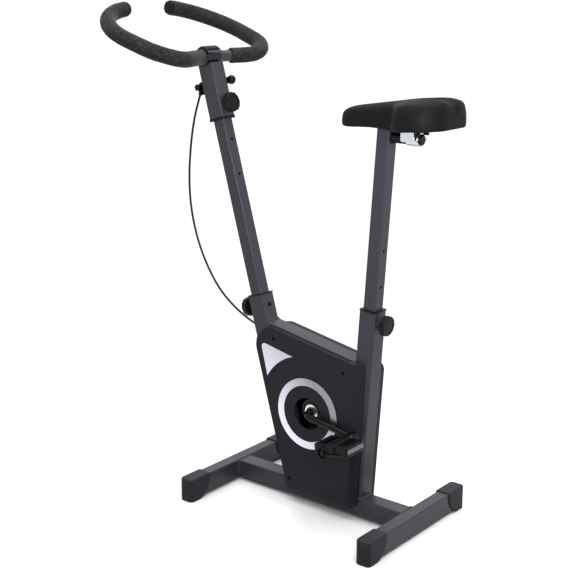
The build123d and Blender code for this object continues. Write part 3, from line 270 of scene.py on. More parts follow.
# Materials
coat_unevenness = 0.05  # of roughness, each way
metal_edge = 0.0005
metal_tints = (0.88, 1.08)
metal_unevenness = 0.06
foam_cell_scale = 850.0
foam_grain_scale = 300.0
foam_patch_scale = 60.0
foam_speck_power = 3.5
foam_speck_range = (0.5, 0.8)
foam_roughness = (0.85, 0.97)
foam_pit_depth = 0.0004
vinyl_wander_scale = 240.0
vinyl_wander = 0.002
vinyl_crease_scale = 520.0
vinyl_crease_width = 0.22
vinyl_crease_depth = 0.00006
vinyl_grain_scale = 500.0
vinyl_patch_scale = 22.0
vinyl_tints = (0.85, 1.2)
vinyl_crease_tint = 0.6
vinyl_roughness = (0.5, 0.6)
ring_scale = 2600.0
ring_depth = 0.00004
ring_tints = (0.9, 1.1)
# Painted sheen on the turned silver: its colour is lighter below and ahead of the crank, in place
# of a reflection.
painted_sheen_way = (0.8, 0.0, -0.6)
painted_sheen_span = (-0.055, 0.095)  # along that way, from the crank
silver_edge = 0.0006
silver_roughness = (0.26, 0.42)
paint_grain = 1100
paint_depth = 0.00003
paint_specular = 0.27
paint_edge = 0.0008
paint_edge_tint = 1.35
paint_tints = (0.9, 1.1)
stem_roughness = (0.33, 0.43)
prism_scale = 420.0
prism_depth = 0.0004
prism_tints = (1.3, 0.55)
prism_roughness = (0.15, 0.35)


def new_material(name, metallic=0.0, specular=0.5):
    """Material with its tree and its shader."""
    material = bpy.data.materials.new(name)
    material.use_nodes = True
    tree = material.node_tree
    shader = tree.nodes["Principled BSDF"]
    shader.inputs["Metallic"].default_value = metallic
    shader.inputs["Specular IOR Level"].default_value = specular
    return material, tree, shader


def bumped(tree, shader, height, depth, normal=None):
    """Relief of a height pattern, depth in metres, on the shader's normal."""
    bump = add_node(tree, "ShaderNodeBump", values={"Distance": depth}, links={"Height": height})
    if normal is not None:
        tree.links.new(normal, bump.inputs["Normal"])
    tree.links.new(bump.outputs["Normal"], shader.inputs["Normal"])


def coated(name, colour, roughness, grain_scale, grain_depth, specular=0.5,
           edge=paint_edge, edge_gain=paint_edge_tint, patch_gain=0.10, metallic=0.0):
    """Painted or moulded finish: fine pebbling, uneven patches and lighter rubbed edges."""
    material, tree, shader = new_material(name, metallic, specular)
    grain = place_group(tree, fine_grain, {"Grain Scale": grain_scale})
    edges = place_group(tree, softened_edge, {"Radius": edge})
    base = mix_colour(
        tree, grain["Patch"], shade(colour, 1 - patch_gain), shade(colour, 1 + patch_gain)
    )
    worn = mix_colour(tree, edges["Mask"], base, shade(colour, edge_gain))
    tree.links.new(worn, shader.inputs["Base Color"])
    uneven = spread(
        tree, grain["Patch"], roughness - coat_unevenness, roughness + coat_unevenness
    )
    tree.links.new(uneven, shader.inputs["Roughness"])
    bumped(tree, shader, grain["Height"], grain_depth, edges["Normal"])
    return material


def brushed_metal(name, colour, roughness, scale, depth):
    """Bright metal with fine scratches and softened edges."""
    material, tree, shader = new_material(name, metallic=1.0)
    lines = place_group(tree, brushing, {"Scale": scale})
    edges = place_group(tree, softened_edge, {"Radius": metal_edge})
    dim, bright = [shade(colour, gain) for gain in metal_tints]
    tint = mix_colour(tree, lines["Height"], dim, bright)
    tree.links.new(tint, shader.inputs["Base Color"])
    uneven = spread(
        tree, lines["Height"], roughness - metal_unevenness, roughness + metal_unevenness
    )
    tree.links.new(uneven, shader.inputs["Roughness"])
    bumped(tree, shader, lines["Height"], depth, edges["Normal"])
    return material


def foam(name, dark, light):
    """Closed cell foam: small cells of uneven grey, with pits between them."""
    material, tree, shader = new_material(name, specular=0.1)
    where = add_node(tree, "ShaderNodeTexCoord").outputs["Object"]
    cells = add_node(
        tree, "ShaderNodeTexVoronoi", values={"Scale": foam_cell_scale, "Randomness": 1.0},
        links={"Vector": where},
    )
    cell_tone = add_node(tree, "ShaderNodeSeparateColor", links={"Color": cells.outputs["Color"]})
    patches = place_group(
        tree, fine_grain, {"Grain Scale": foam_grain_scale, "Patch Scale": foam_patch_scale}
    )
    specks = math_node(tree, "POWER", cell_tone.outputs[0], foam_speck_power)
    tone = math_node(tree, "MULTIPLY", specks, spread(tree, patches["Patch"], *foam_speck_range))
    tree.links.new(mix_colour(tree, tone, dark, light), shader.inputs["Base Color"])
    tree.links.new(spread(tree, tone, *foam_roughness), shader.inputs["Roughness"])
    shader.inputs["Sheen Weight"].default_value = 0.15
    shader.inputs["Sheen Roughness"].default_value = 0.4
    bumped(tree, shader, cells.outputs["Distance"], foam_pit_depth)
    return material


def vinyl(name, colour):
    """Soft moulded skin: fine leather grain, with a slight sheen where it stretches."""
    material, tree, shader = new_material(name, specular=0.09)
    where = add_node(tree, "ShaderNodeTexCoord").outputs["Object"]
    wander = add_node(
        tree, "ShaderNodeTexNoise", values={"Scale": vinyl_wander_scale, "Detail": 2.0},
        links={"Vector": where},
    )
    warped = add_node(
        tree, "ShaderNodeMix", {"data_type": "VECTOR"}, {0: vinyl_wander},
        {4: where, 5: wander.outputs["Color"]},
    )
    creases = add_node(
        tree, "ShaderNodeTexVoronoi", {"feature": "DISTANCE_TO_EDGE"},
        {"Scale": vinyl_crease_scale}, {"Vector": warped.outputs[1]},
    )
    pebbles = add_node(
        tree, "ShaderNodeMapRange", values={"From Max": vinyl_crease_width},
        links={"Value": creases.outputs[0]},
    )
    patches = place_group(
        tree, fine_grain, {"Grain Scale": vinyl_grain_scale, "Patch Scale": vinyl_patch_scale}
    )
    dim, bright = [shade(colour, gain) for gain in vinyl_tints]
    tint = mix_colour(tree, patches["Patch"], dim, bright)
    lined = mix_colour(tree, pebbles.outputs["Result"], shade(colour, vinyl_crease_tint), tint)
    tree.links.new(lined, shader.inputs["Base Color"])
    tree.links.new(spread(tree, patches["Patch"], *vinyl_roughness), shader.inputs["Roughness"])
    bumped(tree, shader, pebbles.outputs["Result"], vinyl_crease_depth)
    return material


def from_axle(tree, centre):
    """Offset from an axle that runs along Y, and its length."""
    where = add_node(tree, "ShaderNodeTexCoord").outputs["Object"]
    away = add_node(
        tree, "ShaderNodeVectorMath", {"operation": "SUBTRACT"}, {1: centre}, {0: where}
    )
    flat = add_node(
        tree, "ShaderNodeVectorMath", {"operation": "MULTIPLY"}, {1: (1.0, 0.0, 1.0)},
        {0: away.outputs[0]},
    )
    radius = add_node(
        tree, "ShaderNodeVectorMath", {"operation": "LENGTH"}, links={0: flat.outputs[0]}
    )
    return flat.outputs[0], radius.outputs["Value"]


def turned_silver(name, colour, centre, painted_sheen_low, painted_sheen_high):
    """Silver trim brushed in rings about the crank, with a painted sheen that makes its colour
    lighter below and ahead of it.
    """
    material, tree, shader = new_material(name, metallic=1.0)
    offset, radius = from_axle(tree, centre)
    rings = add_node(
        tree, "ShaderNodeTexNoise", {"noise_dimensions": "1D"},
        {"Scale": ring_scale, "Detail": 3.0}, {"W": radius},
    )
    # Painted sheen: the colour runs from its dim end to its bright end along this way, fixed on
    # the trim.
    painted_sheen = add_node(
        tree, "ShaderNodeVectorMath", {"operation": "DOT_PRODUCT"}, {1: painted_sheen_way}, {0: offset}
    )
    tone = add_node(
        tree, "ShaderNodeMapRange",
        values={"From Min": painted_sheen_span[0], "From Max": painted_sheen_span[1]},
        links={"Value": painted_sheen.outputs["Value"]},
    )
    edges = place_group(tree, softened_edge, {"Radius": silver_edge})
    dim, bright = [
        mix_colour(
            tree, tone.outputs["Result"],
            shade(colour, gain * painted_sheen_low), shade(colour, gain * painted_sheen_high),
        )
        for gain in ring_tints
    ]
    tint = mix_colour(tree, rings.outputs["Fac"], dim, bright)
    tree.links.new(tint, shader.inputs["Base Color"])
    uneven = spread(tree, rings.outputs["Fac"], *silver_roughness)
    tree.links.new(uneven, shader.inputs["Roughness"])
    bumped(tree, shader, rings.outputs["Fac"], ring_depth, edges["Normal"])
    return material


def stem_paint(name, colour, cradle_colour, centre, cradle_radius):
    """Frame paint, in the clamp's dark colour within a set radius of the handlebar's axle."""
    material, tree, shader = new_material(name, specular=paint_specular)
    grain = place_group(tree, fine_grain, {"Grain Scale": paint_grain})
    edges = place_group(tree, softened_edge, {"Radius": paint_edge})
    _, radius = from_axle(tree, centre)
    cradle = math_node(tree, "LESS_THAN", radius, cradle_radius)
    dim, bright = [shade(colour, gain) for gain in paint_tints]
    paint = mix_colour(tree, grain["Patch"], dim, bright)
    worn = mix_colour(tree, edges["Mask"], paint, shade(colour, paint_edge_tint))
    tree.links.new(mix_colour(tree, cradle, worn, cradle_colour), shader.inputs["Base Color"])
    tree.links.new(spread(tree, grain["Patch"], *stem_roughness), shader.inputs["Roughness"])
    bumped(tree, shader, grain["Height"], paint_depth, edges["Normal"])
    return material


def prism_plastic(name, colour):
    """Pale reflector with a fine grid of moulded prisms."""
    material, tree, shader = new_material(name, specular=0.6)
    where = add_node(tree, "ShaderNodeTexCoord").outputs["Object"]
    prisms = add_node(
        tree, "ShaderNodeTexVoronoi", {"distance": "CHEBYCHEV"},
        {"Scale": prism_scale, "Randomness": 0.0}, {"Vector": where},
    )
    bright, dim = [shade(colour, gain) for gain in prism_tints]
    tint = mix_colour(tree, prisms.outputs["Distance"], bright, dim)
    tree.links.new(tint, shader.inputs["Base Color"])
    uneven = spread(tree, prisms.outputs["Distance"], *prism_roughness)
    tree.links.new(uneven, shader.inputs["Roughness"])
    bumped(tree, shader, prisms.outputs["Distance"], prism_depth)
    return material


def middle(node):
    """Centre of a CAD node's box."""
    low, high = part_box(node)
    return (low + high) / 2


crank_axle = middle("bottom_bracket_shell")

frame_grey = srgb(58, 57, 67)
stem_grey = srgb(58, 58, 65)
clamp_black = srgb(20, 19, 24)
handlebar_axle = Vector((0.2115, 0.0, 0.9619))
cradle_reach = 0.0205

# Colour, roughness, scale of the grain and its depth in metres
materials = {
    "frame_paint": coated(
        "powder_coat", frame_grey, 0.36, paint_grain, paint_depth, specular=paint_specular
    ),
    "cap_plastic": coated("cap_plastic", srgb(49, 48, 54), 0.58, 700, 0.00005, specular=0.15),
    "black_plastic": coated("black_plastic", srgb(15, 15, 17), 0.32, 900, 0.00003, specular=0.13),
    "cover_plastic": coated("cover_plastic", srgb(37, 36, 43), 0.46, 800, 0.00003, specular=0.12),
    "black_steel": coated("black_enamel", srgb(12, 12, 13), 0.24, 500, 0.00001, specular=0.14),
    "flywheel_iron": coated("turned_iron", srgb(80, 80, 84), 0.5, 600, 0.00003, metallic=0.8),
    "rubber": coated("rubber", srgb(24, 24, 25), 0.7, 900, 0.00003, specular=0.2),
    "strap_web": coated("strap_web", srgb(30, 30, 32), 0.8, 1200, 0.0001, specular=0.15),
    "cable_jacket": coated("cable_jacket", srgb(16, 16, 17), 0.38, 400, 0.00001, specular=0.2),
    "reflector": prism_plastic("reflector", srgb(115, 114, 122)),
    "saddle_cover": vinyl("saddle_vinyl", srgb(20, 20, 23)),
    "grip_foam": foam("grip_foam", srgb(28, 28, 30), srgb(101, 101, 105)),
    # The silver trim and the badge both carry the painted sheen of turned_silver.
    "silver_trim": turned_silver("silver_trim", srgb(196, 195, 207), crank_axle, 0.47, 1.5),
    "zinc_steel": brushed_metal("zinc_plate", srgb(206, 213, 214), 0.28, 900, 0.00001),
    "bright_tube": coated("plated_tube", srgb(58, 58, 62), 0.36, 900, 0.00001, metallic=0.4),
    "bearing_steel": brushed_metal("ground_steel", srgb(180, 180, 184), 0.3, 1200, 0.00001),
    "stem": stem_paint("stem_paint", stem_grey, clamp_black, handlebar_axle, cradle_reach),
    "clamp": coated("clamp_plastic", clamp_black, 0.5, 800, 0.00004, specular=0.2),
    "badge": turned_silver("badge_silver", srgb(198, 199, 211), crank_axle, 0.75, 1.35),
}


def give_material(piece, slot):
    """Put one slot's finish on a piece."""
    piece.data.materials.clear()
    piece.data.materials.append(materials[slot])


for subpart in frame["record"]["subparts"]:
    give_material(nodes[subpart["node"]], subpart["material_slot"])
give_material(nodes["stem_tube"], "stem")
give_material(nodes["handlebar_clamp"], "clamp")
give_material(nodes["badges"], "badge")


# Modelling helpers
merge_distance = 0.00002
facing_share = 0.95
smooth_angle = radians(40)
cable_smooth_angle = radians(50)


def deselect():
    bpy.ops.object.select_all(action="DESELECT")


def take(piece):
    """Make a piece the only selected one, and the active one."""
    deselect()
    piece.select_set(True)
    bpy.context.view_layer.objects.active = piece
    return piece


def apply_modifiers(piece):
    take(piece)
    for modifier in list(piece.modifiers):
        bpy.ops.object.modifier_apply(modifier=modifier.name)


def copy_of_node(node, name):
    """A merged copy of a CAD node, to be worked on."""
    piece = bpy.data.objects.new(name, nodes[node].data.copy())
    piece.data.name = name
    scene.collection.objects.link(piece)
    take(piece)
    bpy.ops.object.mode_set(mode="EDIT")
    bpy.ops.mesh.select_all(action="SELECT")
    bpy.ops.mesh.remove_doubles(threshold=merge_distance)
    bpy.ops.object.mode_set(mode="OBJECT")
    return piece


def edit(piece):
    """Open a piece in edit mode with nothing selected."""
    take(piece)
    bpy.ops.object.mode_set(mode="EDIT")
    bpy.ops.mesh.select_all(action="DESELECT")
    return bmesh.from_edit_mesh(piece.data)


def leave_edit():
    bpy.ops.object.mode_set(mode="OBJECT")


def select_facing(piece, direction):
    """Select a piece's faces that face one way, in edit mode."""
    cage = bmesh.from_edit_mesh(piece.data)
    bpy.ops.mesh.select_all(action="DESELECT")
    for face in cage.faces:
        face.select_set(face.normal.dot(Vector(direction)) > facing_share)
    bmesh.update_edit_mesh(piece.data)


def settle(piece, place):
    """Put a piece in its place, with the place kept in its mesh."""
    piece.matrix_world = place
    take(piece)
    bpy.ops.object.transform_apply(location=True, rotation=True, scale=True)


def copies_at(piece, places):
    """Copies of a piece, each with its own mesh, settled at a list of places."""
    made = []
    for place in places:
        copy = piece.copy()
        copy.data = piece.data.copy()
        scene.collection.objects.link(copy)
        settle(copy, place)
        made.append(copy)
    bpy.data.objects.remove(piece)
    return made


def joined(pieces, name):
    """One piece made of several."""
    deselect()
    for piece in pieces:
        piece.select_set(True)
    bpy.context.view_layer.objects.active = pieces[0]
    bpy.ops.object.join()
    piece = bpy.context.object
    piece.name = name
    piece.data.name = name
    return piece


def carve(piece, cutter):
    """Cut one piece's shape out of another."""
    cut = piece.modifiers.new("cut", "BOOLEAN")
    cut.object = cutter
    cut.use_self = True
    apply_modifiers(piece)
    bpy.data.objects.remove(cutter)


def finish_piece(piece, slot, body, *replaced):
    """Smooth a piece, give it its finish and hang it on its body."""
    take(piece)
    bpy.ops.object.shade_smooth_by_angle(angle=smooth_angle)
    give_material(piece, slot)
    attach(piece, body)
    if replaced:
        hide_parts(*replaced)


# Welds
bead_radius = 0.0024
bead_pitch = 0.0034
bead_ripple = 0.16
bead_step = 0.0009
tube_side = 0.040
tube_corner = 0.003
corner_segments = 4
bead_halvings = 7
round_segments = 72
front_lean = radians(15.62)
seat_lean = radians(-3.96)
socket_feet = ((-0.0436, 0.0415), (-0.2043, 0.0401))  # x and depth of each on the beam
link_ends = (  # point, lean and height of the top link's face on each socket
    ((0.0273, 0, 0.3780), front_lean, 0.0445),
    ((-0.2040, 0, 0.3358), seat_lean, 0.0403),
)
arm_root = (-0.2732, 0, 0.828)
arm_radius = 0.011
bracket_root = (0.2144, -0.0048, 0.8984)
bracket_size = (0.037, 0.004)


def tube_outline(width, depth):
    """Loose outline of a square tube with rounded corners, flat at the origin."""
    deselect()
    bpy.ops.mesh.primitive_plane_add(size=1)
    outline = bpy.context.object
    edit(outline)
    bpy.ops.mesh.select_all(action="SELECT")
    bpy.ops.transform.resize(value=(width, depth, 1))
    corner = min(tube_corner, depth / 3)
    bpy.ops.mesh.bevel(offset=corner, segments=corner_segments, affect="VERTICES")
    bpy.ops.mesh.delete(type="ONLY_FACE")
    leave_edit()
    return outline


def round_outline(radius):
    """Loose outline of a round bar."""
    deselect()
    bpy.ops.mesh.primitive_circle_add(vertices=round_segments, radius=radius)
    return bpy.context.object


def weld_bead(outline, place):
    """Rippled bead laid along an outline."""
    for _ in range(bead_halvings):
        cage = edit(outline)
        for edge in cage.edges:
            edge.select_set(edge.calc_length() > bead_step)
        bpy.ops.mesh.subdivide(number_cuts=1)
        leave_edit()
    take(outline)
    bpy.ops.object.convert(target="CURVE")
    bead = bpy.context.object
    for spline in bead.data.splines:
        run = 0.0
        last = spline.points[0].co
        for point in spline.points:
            run += (point.co - last).length
            last = point.co
            point.radius = 1 + bead_ripple * sin(2 * pi * run / bead_pitch)
    bead.data.bevel_depth = bead_radius
    bead.data.bevel_resolution = 2
    bpy.ops.object.convert(target="MESH")
    bead = bpy.context.object
    settle(bead, place)
    return bead


def leaning_face(point, lean):
    """Place on a leaning tube's front or rear face, local x up the tube and local y across."""
    return Matrix.Translation(point) @ Matrix.Rotation(lean - pi / 2, 4, "Y")


def frame_welds():
    """Beads where the base, the sockets and the top link meet."""
    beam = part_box("base_beam")
    beam_centre = (beam[0] + beam[1]) / 2
    beam_size = beam[1] - beam[0]
    beads = []
    for end in (beam[0].x, beam[1].x):
        place = Matrix.Translation((end, 0, beam_centre.z)) @ Matrix.Rotation(pi / 2, 4, "Y")
        beads.append(weld_bead(tube_outline(beam_size.z, beam_size.y), place))
    for foot_x, depth in socket_feet:
        place = Matrix.Translation((foot_x, 0, beam[1].z))
        beads.append(weld_bead(tube_outline(depth, tube_side), place))
    for point, lean, tall in link_ends:
        beads.append(weld_bead(tube_outline(tall, tube_side), leaning_face(point, lean)))
    finish_piece(joined(beads, "frame_weld_beads"), "frame_paint", "frame")


def bracket_welds():
    """Beads at the root of the seat arm and of the lever's bracket."""
    arm = weld_bead(round_outline(arm_radius), leaning_face(arm_root, seat_lean))
    arm.name = "seat_arm_weld"
    finish_piece(arm, "black_steel", "seat_mast")
    bracket = weld_bead(tube_outline(*bracket_size), leaning_face(bracket_root, front_lean))
    bracket.name = "lever_bracket_weld"
    finish_piece(bracket, "black_steel", "stem")


# Screws and bolts
head_segments = 40
head_rounding = 0.22  # of the head's radius
screw_radius = 0.0039
screw_head = 0.002
screw_shank_radius = 0.002
screw_shank = 0.0145
screw_cross = (0.0046, 0.0012, 0.0011)  # length, width and depth of the recess
screw_seat = 0.0305  # from the middle plane
screw_places = ((-0.0006, 0.3709), (-0.1884, 0.3308), (-0.0456, 0.0560))
bolt_radius = 0.0042
bolt_head = 0.004
bolt_shank_radius = 0.0025
bolt_shank = 0.014
bolt_socket_radius = 0.0024
bolt_socket_depth = 0.0025
bolt_seat = 0.007  # above the bar's axle
bolt_turn = radians(50.62)
bolt_ahead = 0.0163
bolt_aside = 0.012


def headed_bolt(radius, head, shank_radius, shank):
    """Round headed bolt at the origin, its head up and its underside at zero."""
    deselect()
    bpy.ops.mesh.primitive_cylinder_add(
        vertices=head_segments, radius=radius, depth=head, location=(0, 0, head / 2)
    )
    bolt = bpy.context.object
    bpy.ops.object.transform_apply(location=True)
    edit(bolt)
    select_facing(bolt, (0, 0, -1))
    bpy.ops.mesh.inset(thickness=radius - shank_radius)
    bpy.ops.mesh.extrude_region_move(TRANSFORM_OT_translate={"value": (0, 0, -shank)})
    select_facing(bolt, (0, 0, 1))
    bpy.ops.mesh.bevel(offset=head_rounding * radius, segments=4)
    leave_edit()
    return bolt


def cross_cutter(length, width, depth, top):
    """Two crossed bars, for the recess of a screw."""
    deselect()
    bpy.ops.mesh.primitive_cube_add(size=1, location=(0, 0, top))
    cutter = bpy.context.object
    edit(cutter)
    bpy.ops.mesh.select_all(action="SELECT")
    bpy.ops.transform.resize(value=(length, width, 2 * depth), center_override=(0, 0, top))
    bpy.ops.mesh.duplicate()
    bpy.ops.transform.rotate(value=pi / 2, orient_axis="Z", center_override=(0, 0, top))
    leave_edit()
    return cutter


def cover_screws():
    """Cross-head screws, deep in the pockets of both covers."""
    screw = headed_bolt(screw_radius, screw_head, screw_shank_radius, screw_shank)
    carve(screw, cross_cutter(*screw_cross, screw_head))
    places = []
    for x, z in screw_places:
        for side in (1, -1):
            turn = Matrix.Rotation(-side * pi / 2, 4, "X")
            places.append(Matrix.Translation((x, side * screw_seat, z)) @ turn)
    screws = joined(copies_at(screw, places), "cross_head_screws")
    finish_piece(screws, "black_steel", "frame", "cover_screws")


def clamp_bolts():
    """Hexagon socket bolts of the handlebar's clamp."""
    bolt = headed_bolt(bolt_radius, bolt_head, bolt_shank_radius, bolt_shank)
    deselect()
    bpy.ops.mesh.primitive_cylinder_add(
        vertices=6, radius=bolt_socket_radius, depth=2 * bolt_socket_depth,
        location=(0, 0, bolt_head),
    )
    carve(bolt, bpy.context.object)
    turn = Matrix.Translation(handlebar_axle) @ Matrix.Rotation(bolt_turn, 4, "Y")
    places = [
        turn @ Matrix.Translation((ahead, aside, bolt_seat))
        for ahead in (-bolt_ahead, bolt_ahead)
        for aside in (-bolt_aside, bolt_aside)
    ]
    bolts = joined(copies_at(bolt, places), "hexagon_socket_bolts")
    finish_piece(bolts, "black_steel", "stem", "handlebar_clamp_bolts")


# Foot caps
rib_width = 0.0022
rib_height = 0.036
rib_proud = 0.0006
rib_pitch = 0.0037
ribs_per_cap = 5
rib_edge = 0.0004


def end_ribs(bar):
    """Moulded ribs on the outer ends of a stabiliser's foot caps."""
    low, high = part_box(f"{bar}_foot_caps")
    centre = (low + high) / 2
    deselect()
    bpy.ops.mesh.primitive_cube_add(size=1)
    rib = bpy.context.object
    edit(rib)
    bpy.ops.mesh.select_all(action="SELECT")
    bpy.ops.transform.resize(value=(rib_width, 4 * rib_proud, rib_height))
    bpy.ops.mesh.bevel(offset=rib_edge, segments=3)
    leave_edit()
    places = []
    for number in range(ribs_per_cap):
        x = centre.x + (number - (ribs_per_cap - 1) / 2) * rib_pitch
        for y in (low.y + rib_proud, high.y - rib_proud):
            places.append(Matrix.Translation((x, y, centre.z)))
    ribs = joined(copies_at(rib, places), f"{bar}_cap_ribs")
    finish_piece(ribs, "cap_plastic", "frame")


frame_welds()
bracket_welds()
cover_screws()
clamp_bolts()
end_ribs("front")
end_ribs("rear")


# Tension cable
def cable_curve(name, thickness):
    """Smooth curve along the cable's route."""
    curve = bpy.data.curves.new(name, "CURVE")
    curve.dimensions = "3D"
    curve.bevel_depth = thickness
    curve.bevel_resolution = 5
    curve.resolution_u = 10
    spline = curve.splines.new("NURBS")
    spline.points.add(len(cable_route) - 1)
    for point, place in zip(spline.points, cable_route):
        point.co = (*place, 1.0)
    spline.use_endpoint_u = True
    spline.order_u = 3
    made = bpy.data.objects.new(name, curve)
    scene.collection.objects.link(made)
    return made


def tension_cable():
    """The cable as a tube along its route."""
    line = cable_curve("cable_line", 0.0)
    bpy.context.view_layer.update()
    path = [tuple(v.co) for v in bpy.data.meshes.new_from_object(line).vertices]
    bpy.data.objects.remove(line)
    cable = take(cable_curve("tension_cable_jacket", cable_diameter / 2))
    cable.data.use_fill_caps = True
    bpy.ops.object.convert(target="MESH")
    cable = bpy.context.object
    give_material(cable, "cable_jacket")
    bpy.ops.object.shade_smooth_by_angle(angle=cable_smooth_angle)
    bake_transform(cable)
    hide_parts("tension_cable")


tension_cable()


# Soft pieces
def remeshed(piece, voxel):
    """Even mesh over a copied node."""
    remesh = piece.modifiers.new("even", "REMESH")
    remesh.mode = "VOXEL"
    remesh.voxel_size = voxel
    apply_modifiers(piece)


def smoothed(piece, rounds, group=""):
    """Soften the edges that the even mesh left, all over or by a group's weights."""
    smooth = piece.modifiers.new("soft", "SMOOTH")
    smooth.factor = 0.5
    smooth.iterations = rounds
    smooth.vertex_group = group
    apply_modifiers(piece)


def swollen(piece, held, pressure, frames, cap):
    """Blow a piece up a little as cloth, with its held points fixed and the rest capped."""
    rest = [v.co.copy() for v in piece.data.vertices]
    group = piece.vertex_groups.new(name="held")
    group.add([v.index for v in piece.data.vertices if held(v)], 1.0, "REPLACE")
    cloth = piece.modifiers.new("swell", "CLOTH")
    cloth.settings.use_pressure = True
    cloth.settings.uniform_pressure_force = pressure
    cloth.settings.vertex_group_mass = "held"
    cloth.settings.effector_weights.gravity = 0
    for number in range(1, frames + 1):
        scene.frame_set(number)
    apply_modifiers(piece)
    scene.frame_set(1)
    for vertex, start in zip(piece.data.vertices, rest):
        moved = vertex.co - start
        if moved.length > cap:
            vertex.co = start + moved * (cap / moved.length)
    piece.vertex_groups.remove(piece.vertex_groups["held"])


# Saddle
saddle_nose_x = -0.18
saddle_low_z = 0.845  # underside at the nose
saddle_rise = 0.04  # and how it climbs to the rear
edge_height = 0.010  # the skin is pulled taut over this much of the lower edge
groove_depth = 0.006
groove_reach = 0.026
groove_half = 0.003
groove_front_x = -0.352
groove_low_z = 0.88
saddle_voxel = 0.0027
swell_pressure = 4.0
swell_frames = 20
swell_cap = 0.0015
underside_facing = -0.25  # faces turned down further than this stay as they are
taut_share = 0.5
edge_clearance = 0.001
first_softening = 18
last_softening = 4


def above_edge(point):
    """0 at the saddle's lower edge, 1 above the taut skin."""
    low = saddle_low_z + saddle_rise * (saddle_nose_x - point.x)
    return min(1.0, max(0.0, (point.z - low - edge_clearance) / edge_height))


def saddle_groove(pad):
    """Press a shallow groove between the two lobes of the rear."""
    cage = edit(pad)
    for vertex in cage.verts:
        place = vertex.co
        vertex.select_set(
            abs(place.y) < groove_half and place.x < groove_front_x and place.z > groove_low_z
        )
    bmesh.update_edit_mesh(pad.data)
    bpy.ops.transform.translate(
        value=(0, 0, -groove_depth), use_proportional_edit=True,
        proportional_edit_falloff="SMOOTH", proportional_size=groove_reach,
    )
    leave_edit()


def saddle_pad():
    """Padded saddle skin over the pan, full and smooth above a taut lower edge."""
    pad = copy_of_node("saddle_cushion", "saddle_pad")
    remeshed(pad, saddle_voxel)
    soft = pad.vertex_groups.new(name="soft")
    for vertex in pad.data.vertices:
        soft.add([vertex.index], above_edge(vertex.co), "REPLACE")
    smoothed(pad, first_softening, "soft")
    swollen(
        pad, lambda v: v.normal.z < underside_facing or above_edge(v.co) < taut_share,
        pressure=swell_pressure, frames=swell_frames, cap=swell_cap,
    )
    smoothed(pad, last_softening, "soft")
    saddle_groove(pad)
    pad.vertex_groups.clear()
    finer = pad.modifiers.new("finer", "SUBSURF")
    finer.levels = 1
    finer.render_levels = 1
    apply_modifiers(pad)
    bpy.ops.object.shade_smooth()
    give_material(pad, "saddle_cover")
    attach(pad, "saddle")
    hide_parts("saddle_cushion")


# Grips
sleeve_voxel = 0.0022
sleeve_swell = 0.0009
sleeve_swell_size = 0.018
sleeve_swell_level = 0.45
sleeve_softening = 4


def foam_sleeve(side):
    """Foam grip, rounded at its ends and slightly uneven along its length."""
    sleeve = copy_of_node(f"{side}_grip", f"{side}_foam_sleeve")
    remeshed(sleeve, sleeve_voxel)
    smoothed(sleeve, sleeve_softening)
    uneven = bpy.data.textures.new(f"{side}_foam_swell", "CLOUDS")
    uneven.noise_scale = sleeve_swell_size
    push = sleeve.modifiers.new("uneven", "DISPLACE")
    push.texture = uneven
    push.texture_coords = "LOCAL"
    push.strength = sleeve_swell
    push.mid_level = sleeve_swell_level
    apply_modifiers(sleeve)
    bpy.ops.object.shade_smooth()
    give_material(sleeve, "grip_foam")
    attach(sleeve, "handlebar")
    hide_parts(f"{side}_grip")


saddle_pad()
foam_sleeve("left")
foam_sleeve("right")


# Studio
floor_size = 160
floor_tone = 0.95
floor_bounce = 0.07
sky_level = 0.21
overhead_aim = Vector((0.05, -0.08, -0.995))
overhead_energy = 3.0
overhead_spread = 60
fills = (  # place, aim, and whether it shows in gloss
    (Vector((-1.04, 0.91, 1.03)), Vector((0.746, -0.653, -0.06)), True),
    (Vector((1.04, -0.91, 1.03)), Vector((-0.746, 0.653, -0.06)), False),
)
fill_power = 6.4
fill_size = 0.5
fill_spread = 105


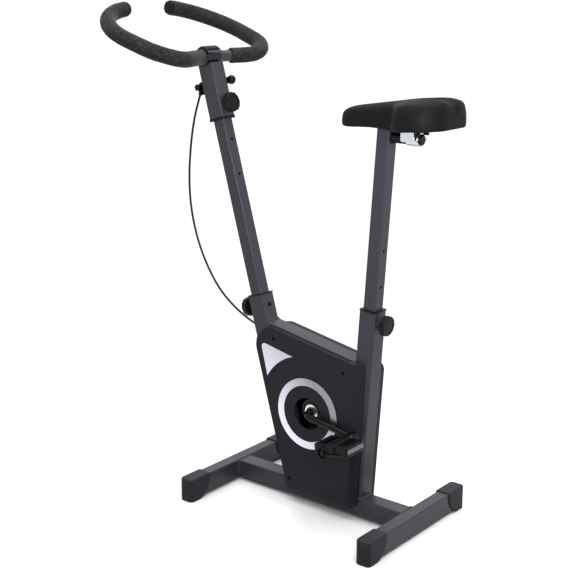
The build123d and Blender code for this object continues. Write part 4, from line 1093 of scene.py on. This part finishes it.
def plain_rays(tree):
    """1 for rays that see the surroundings as they look, 0 for those that carry light."""
    rays = add_node(tree, "ShaderNodeLightPath").outputs
    straight = math_node(tree, "MAXIMUM", rays["Is Camera Ray"], rays["Is Glossy Ray"])
    return math_node(tree, "MAXIMUM", straight, rays["Is Transmission Ray"])


def pale_floor():
    """Wide plain floor, white to the eye, that throws little light back up."""
    deselect()
    bpy.ops.mesh.primitive_plane_add(size=floor_size)
    floor = bpy.context.object
    floor.name = "floor"
    material, tree, shader = new_material("pale_floor", specular=0.05)
    shader.inputs["Roughness"].default_value = 0.9
    seen = plain_rays(tree)
    tint = mix_colour(
        tree, seen, (floor_bounce, floor_bounce, floor_bounce, 1.0),
        (floor_tone, floor_tone, floor_tone, 1.0),
    )
    tree.links.new(tint, shader.inputs["Base Color"])
    floor.data.materials.append(material)


def studio_world():
    """Even white surroundings, dimmer as a source of light than they look."""
    world = bpy.data.worlds.new("studio")
    scene.world = world
    world.use_nodes = True
    tree = world.node_tree
    background = tree.nodes["Background"]
    background.inputs["Color"].default_value = (1.0, 1.0, 1.0, 1.0)
    strength = spread(tree, plain_rays(tree), sky_level, 1.0)
    tree.links.new(strength, background.inputs["Strength"])


def studio():
    """Floor, light and camera."""
    pale_floor()
    studio_world()
    deselect()
    bpy.ops.object.light_add(type="SUN")
    overhead = bpy.context.object
    overhead.rotation_euler = overhead_aim.to_track_quat("-Z", "Y").to_euler()
    overhead.data.energy = overhead_energy
    overhead.data.angle = radians(overhead_spread)
    for place, aim, glossy in fills:
        bpy.ops.object.light_add(type="AREA", location=place)
        fill = bpy.context.object
        fill.rotation_euler = aim.to_track_quat("-Z", "Y").to_euler()
        fill.data.energy = fill_power
        fill.data.size = fill_size
        fill.data.spread = radians(fill_spread)
        fill.visible_camera = False
        fill.visible_glossy = glossy
    deselect()
    bpy.ops.object.camera_add(location=camera_place)
    camera = bpy.context.object
    camera.rotation_euler = camera_aim.to_track_quat("-Z", "Y").to_euler()
    camera.data.sensor_width = camera_sensor
    camera.data.lens = camera_lens
    camera.data.clip_end = camera_reach
    scene.camera = camera


studio()
